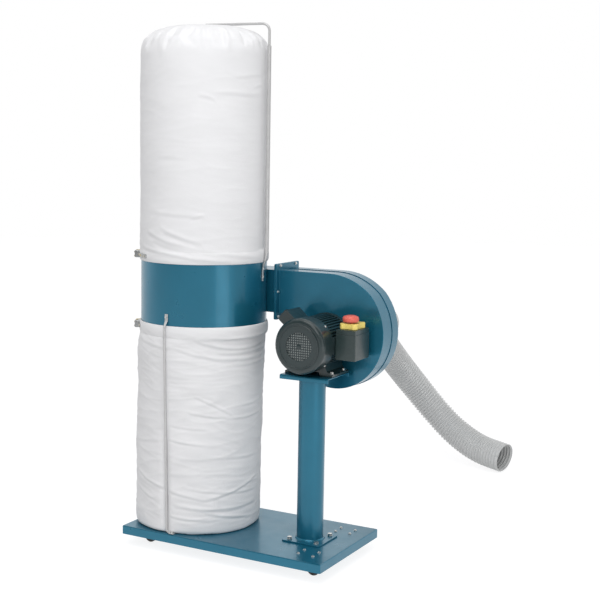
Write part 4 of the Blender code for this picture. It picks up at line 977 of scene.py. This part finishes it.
# Each fold: azimuth and height of its left end, of its right end, bow of its middle, depth and half width.
UPPER_FOLDS = (
    (-100, 1.237, -58, 1.180, -0.004, 0.0030, 0.009),
    (-118, 1.222, -64, 1.160, -0.006, 0.0036, 0.009),
    (-108, 1.188, -66, 1.148, -0.004, 0.0032, 0.008),
    (-134, 1.164, -70, 1.136, -0.004, 0.0034, 0.008),
    (-92, 1.137, -34, 1.116, -0.004, 0.0024, 0.007),
    (-70, 1.164, 4, 1.126, -0.006, 0.0016, 0.009),
    (-112, 1.294, -56, 1.282, -0.003, 0.0016, 0.008),
    (-70, 1.272, -58, 1.284, 0.000, 0.0020, 0.006),
    (-104, 1.499, -70, 1.492, -0.002, 0.0009, 0.008),
    (-64, 1.717, -48, 1.700, 0.004, 0.0022, 0.007),
    (-48, 1.730, 8, 1.727, -0.003, 0.0016, 0.008),
    (-34, 1.782, 3, 1.799, 0.002, 0.0014, 0.007),
    (-12, 1.748, 6, 1.760, 0.006, 0.0018, 0.007),
    (100, 1.210, 160, 1.160, -0.006, 0.0030, 0.009),
    (40, 1.180, 96, 1.150, -0.005, 0.0028, 0.009),
    (60, 1.520, 118, 1.500, -0.004, 0.0014, 0.009),
)
LOWER_FOLDS = (
    (-56, 0.833, 26, 0.842, -0.010, 0.0034, 0.006),
    (-66, 0.824, 24, 0.814, -0.032, 0.0054, 0.007),
    (-46, 0.776, 26, 0.790, -0.010, 0.0056, 0.008),
    (-56, 0.758, 24, 0.756, -0.010, 0.0044, 0.008),
    (-30, 0.728, 30, 0.738, -0.006, 0.0034, 0.007),
    (-84, 0.790, -40, 0.752, -0.006, 0.0020, 0.006),
    (-128, 0.812, -84, 0.790, -0.006, 0.0018, 0.006),
    (-66, 0.612, -28, 0.532, 0.004, 0.0026, 0.0055),
    (-38, 0.530, 24, 0.536, -0.010, 0.0026, 0.0055),
    (-72, 0.552, -36, 0.530, -0.004, 0.0026, 0.005),
    (-20, 0.572, 22, 0.590, -0.006, 0.0020, 0.006),
    (-92, 0.500, -52, 0.488, -0.003, 0.0016, 0.005),
    (-146, 0.411, -84, 0.447, -0.004, 0.0016, 0.006),
    (-90, 0.446, -54, 0.428, -0.003, 0.0022, 0.005),
    (-56, 0.384, 16, 0.366, -0.006, 0.0014, 0.006),
    (-138, 0.308, -54, 0.215, -0.006, 0.0028, 0.0065),
    (-60, 0.214, 10, 0.284, -0.006, 0.0030, 0.0065),
    (-76, 0.262, 16, 0.230, -0.008, 0.0020, 0.006),
    (-88, 0.196, 8, 0.181, -0.012, 0.0034, 0.007),
    (-98, 0.154, -50, 0.139, -0.004, 0.0028, 0.006),
    (-56, 0.166, 0, 0.127, -0.004, 0.0026, 0.006),
    (-140, 0.240, -96, 0.205, -0.006, 0.0020, 0.007),
    (40, 0.800, 110, 0.780, -0.010, 0.0034, 0.008),
    (96, 0.760, 170, 0.790, -0.010, 0.0034, 0.008),
    (70, 0.520, 140, 0.480, -0.006, 0.0026, 0.007),
    (60, 0.300, 126, 0.210, -0.006, 0.0032, 0.008),
    (120, 0.210, 196, 0.270, -0.008, 0.0030, 0.007),
)


def make_upper_bag():
    """The filter bag: a tube with a round top, blown up tight and puckered at the top seam."""
    rows, pinned = upper_rows()
    mesh = bag_mesh("filter_bag", rows, rows[-1][1])
    points = points_of(mesh)
    fixed = np.arange(len(points)) < pinned * BAG_STEPS
    start = rumpled(points, ~fixed, 0.0024, 9)
    set_points(mesh, start)
    points = settle(mesh, fixed, start, 20, 25, 0.03)
    mesh, points, out = finer(mesh, points)
    side = np.clip((points[:, 2] - rows[2][1]) / 0.03, 0, 1)
    side *= np.clip((UPPER_HIGH.z - 0.10 - points[:, 2]) / 0.10, 0, 1)
    near_hem = np.clip((1.30 - points[:, 2]) / 0.15, 0, 1)
    wrinkled(points, out, side * (0.65 + 0.5 * near_hem), 0.0011, 3.7)
    pucker(points, out)
    creased(points, out, UPPER_FOLDS)
    kept_off(points, "clamp_band_upper", rows[0][1])
    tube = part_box("hanger_lower")
    set_back = (tube[0].x + tube[1].x) / 2 - DRUM_AXIS.x
    beside = SLEEVE_RADIUS - 0.0004
    behind = set_back - 0.0125
    pressed_in(points, HANGER_AZIMUTH, lambda z: np.where(z < DRUM_HIGH.z + 0.004, beside, behind), 0.030)
    side = rows[0][1]
    finished_bag("filter_bag", mesh, points, "upper_bag")


def make_lower_bag():
    """The collection bag: longer than its space, so it sits in soft level folds on the tray."""
    rows, pinned, floor = lower_rows()
    mesh = bag_mesh("collection_bag", rows, floor)
    points = points_of(mesh)
    index = np.arange(len(points))
    flat = np.hypot(points[:, 0], points[:, 1])
    fixed = (index < pinned * BAG_STEPS) | ((flat < 0.212) & (points[:, 2] < floor + 0.002))
    share = np.clip((rows[pinned - 1][1] - points[:, 2]) / (rows[pinned - 1][1] - floor), 0, 1)
    points[:, 0] -= LEAN * share**0.3
    start = rumpled(points, ~fixed, 0.0060, 7)
    start = rumpled(start, ~fixed, 0.0030, 19)
    rest = points.copy()
    side = np.maximum(0, np.cos(azimuths(points) - math.radians(-10)))
    slack = 1.035 + 0.035 * side
    rest[:, 2] = floor + (rest[:, 2] - floor) * slack
    twist = math.radians(2.5) * share
    x, y = points[:, 0] * 1.012, points[:, 1] * 1.012
    rest[:, 0] = x * np.cos(twist) - y * np.sin(twist)
    rest[:, 1] = x * np.sin(twist) + y * np.cos(twist)
    set_points(mesh, start)
    points = settle(mesh, fixed, rest, 2.5, 30, 0.015)
    points[:, 2] = np.maximum(points[:, 2], floor)
    mesh, points, out = finer(mesh, points)
    side = np.clip((points[:, 2] - floor - 0.012) / 0.04, 0, 1)
    side *= np.clip((rows[3][1] - points[:, 2]) / 0.03, 0, 1)
    wrinkled(points, out, side, 0.0019, 8.3)
    creased(points, out, LOWER_FOLDS)
    kept_off(points, "clamp_band_lower", rows[0][1])
    points[:, 2] = np.maximum(points[:, 2], floor)
    for azimuth in ROD_AZIMUTHS:
        pressed_in(points, azimuth, lambda z: 0.2303 + (z - floor) * 0.0268, 0.016)
    finished_bag("collection_bag", mesh, points, "lower_bag")


make_upper_bag()
make_lower_bag()


# ------------------------------------------------------------------ floor, backdrop and light
def make_stage():
    """A pale floor that keeps the shadow, with a white backdrop all round."""
    mesh = bpy.data.meshes.new("floor")
    shape = bmesh.new()
    bmesh.ops.create_circle(shape, cap_ends=True, segments=96, radius=16)
    written(shape, mesh)
    floor = bpy.data.objects.new("floor", mesh)
    floor.location.z = -0.0005
    scene.collection.objects.link(floor)
    material = bpy.data.materials.new("floor_white")
    material.use_nodes = True
    tree = material.node_tree
    tree.nodes.clear()
    new, link = tree.nodes.new, tree.links.new
    output = new("ShaderNodeOutputMaterial")
    plain = new("ShaderNodeBsdfDiffuse")
    plain.inputs["Color"].default_value = (0.78, 0.78, 0.78, 1)
    lit = new("ShaderNodeBsdfDiffuse")
    lit.inputs["Color"].default_value = (0.30, 0.30, 0.31, 1)
    glow = new("ShaderNodeEmission")
    glow.inputs["Strength"].default_value = 0.84
    added = new("ShaderNodeAddShader")
    link(lit.outputs[0], added.inputs[0])
    link(glow.outputs[0], added.inputs[1])
    mixed = new("ShaderNodeMixShader")
    link(seen(tree), mixed.inputs["Fac"])
    link(plain.outputs[0], mixed.inputs[1])
    link(added.outputs[0], mixed.inputs[2])
    link(mixed.outputs[0], output.inputs["Surface"])
    mesh.materials.append(material)


def seen(tree):
    """1 for what the camera, a gloss or a glass looks at, else 0."""
    new, link = tree.nodes.new, tree.links.new
    path = new("ShaderNodeLightPath")
    total = path.outputs["Is Camera Ray"]
    for name in ("Is Glossy Ray", "Is Transmission Ray"):
        larger = new("ShaderNodeMath")
        larger.operation = "MAXIMUM"
        link(total, larger.inputs[0])
        link(path.outputs[name], larger.inputs[1])
        total = larger.outputs["Value"]
    return total


def make_world():
    """White where it is seen; for gloss it is dim on the side that the lamps stand on."""
    world = bpy.data.worlds.new("studio")
    world.use_nodes = True
    scene.world = world
    tree = world.node_tree
    tree.nodes.clear()
    new, link = tree.nodes.new, tree.links.new
    output = new("ShaderNodeOutputWorld")
    background = new("ShaderNodeBackground")
    background.inputs["Color"].default_value = (1, 1, 1, 1)
    place = new("ShaderNodeTexCoord")
    facing = new("ShaderNodeVectorMath")
    facing.operation = "DOT_PRODUCT"
    link(place.outputs["Generated"], facing.inputs[0])
    yaw = math.radians(29.3)
    facing.inputs[1].default_value = (-math.sin(yaw), math.cos(yaw), 0.30)
    ramp = new("ShaderNodeMapRange")
    ramp.interpolation_type = "SMOOTHSTEP"
    for name, value in (("From Min", 0.02), ("From Max", 0.24), ("To Min", ROOM), ("To Max", 1.0)):
        ramp.inputs[name].default_value = value
    link(facing.outputs["Value"], ramp.inputs["Value"])
    path = new("ShaderNodeLightPath")
    camera = new("ShaderNodeMath")
    camera.operation = "MAXIMUM"
    link(path.outputs["Is Camera Ray"], camera.inputs[0])
    link(ramp.outputs["Result"], camera.inputs[1])
    strength = new("ShaderNodeMix")
    strength.data_type = "FLOAT"
    link(seen(tree), strength.inputs["Factor"])
    strength.inputs[2].default_value = FILL
    link(camera.outputs["Value"], strength.inputs[3])
    link(strength.outputs[0], background.inputs["Strength"])
    link(background.outputs[0], output.inputs["Surface"])


def soft_box(name, azimuth, height, distance, width, tall, radiance, aim_height=1.0):
    """A rectangular soft lamp that looks at the machine; radiance is how bright it looks."""
    data = bpy.data.lights.new(name, "AREA")
    data.shape = "RECTANGLE"
    data.size, data.size_y = width, tall
    data.energy = math.pi * width * tall * radiance
    lamp = bpy.data.objects.new(name, data)
    a = math.radians(azimuth)
    lamp.location = BASE + Vector((math.sin(a) * distance, -math.cos(a) * distance, height))
    aim = BASE + Vector((0, 0, aim_height)) - lamp.location
    lamp.rotation_mode = "QUATERNION"
    lamp.rotation_quaternion = aim.to_track_quat("-Z", "Y")
    scene.collection.objects.link(lamp)


ROOM = 0.16
FILL = 0.55
scene.view_settings.view_transform = "Standard"
make_stage()
make_world()
soft_box("key", 22, 3.1, 3.8, 2.4, 2.0, 2.6)
soft_box("side", 64, 1.35, 3.4, 1.5, 2.4, 1.25, 1.25)
soft_box("top", 20, 4.7, 1.6, 3.0, 2.4, 2.4, 1.4)
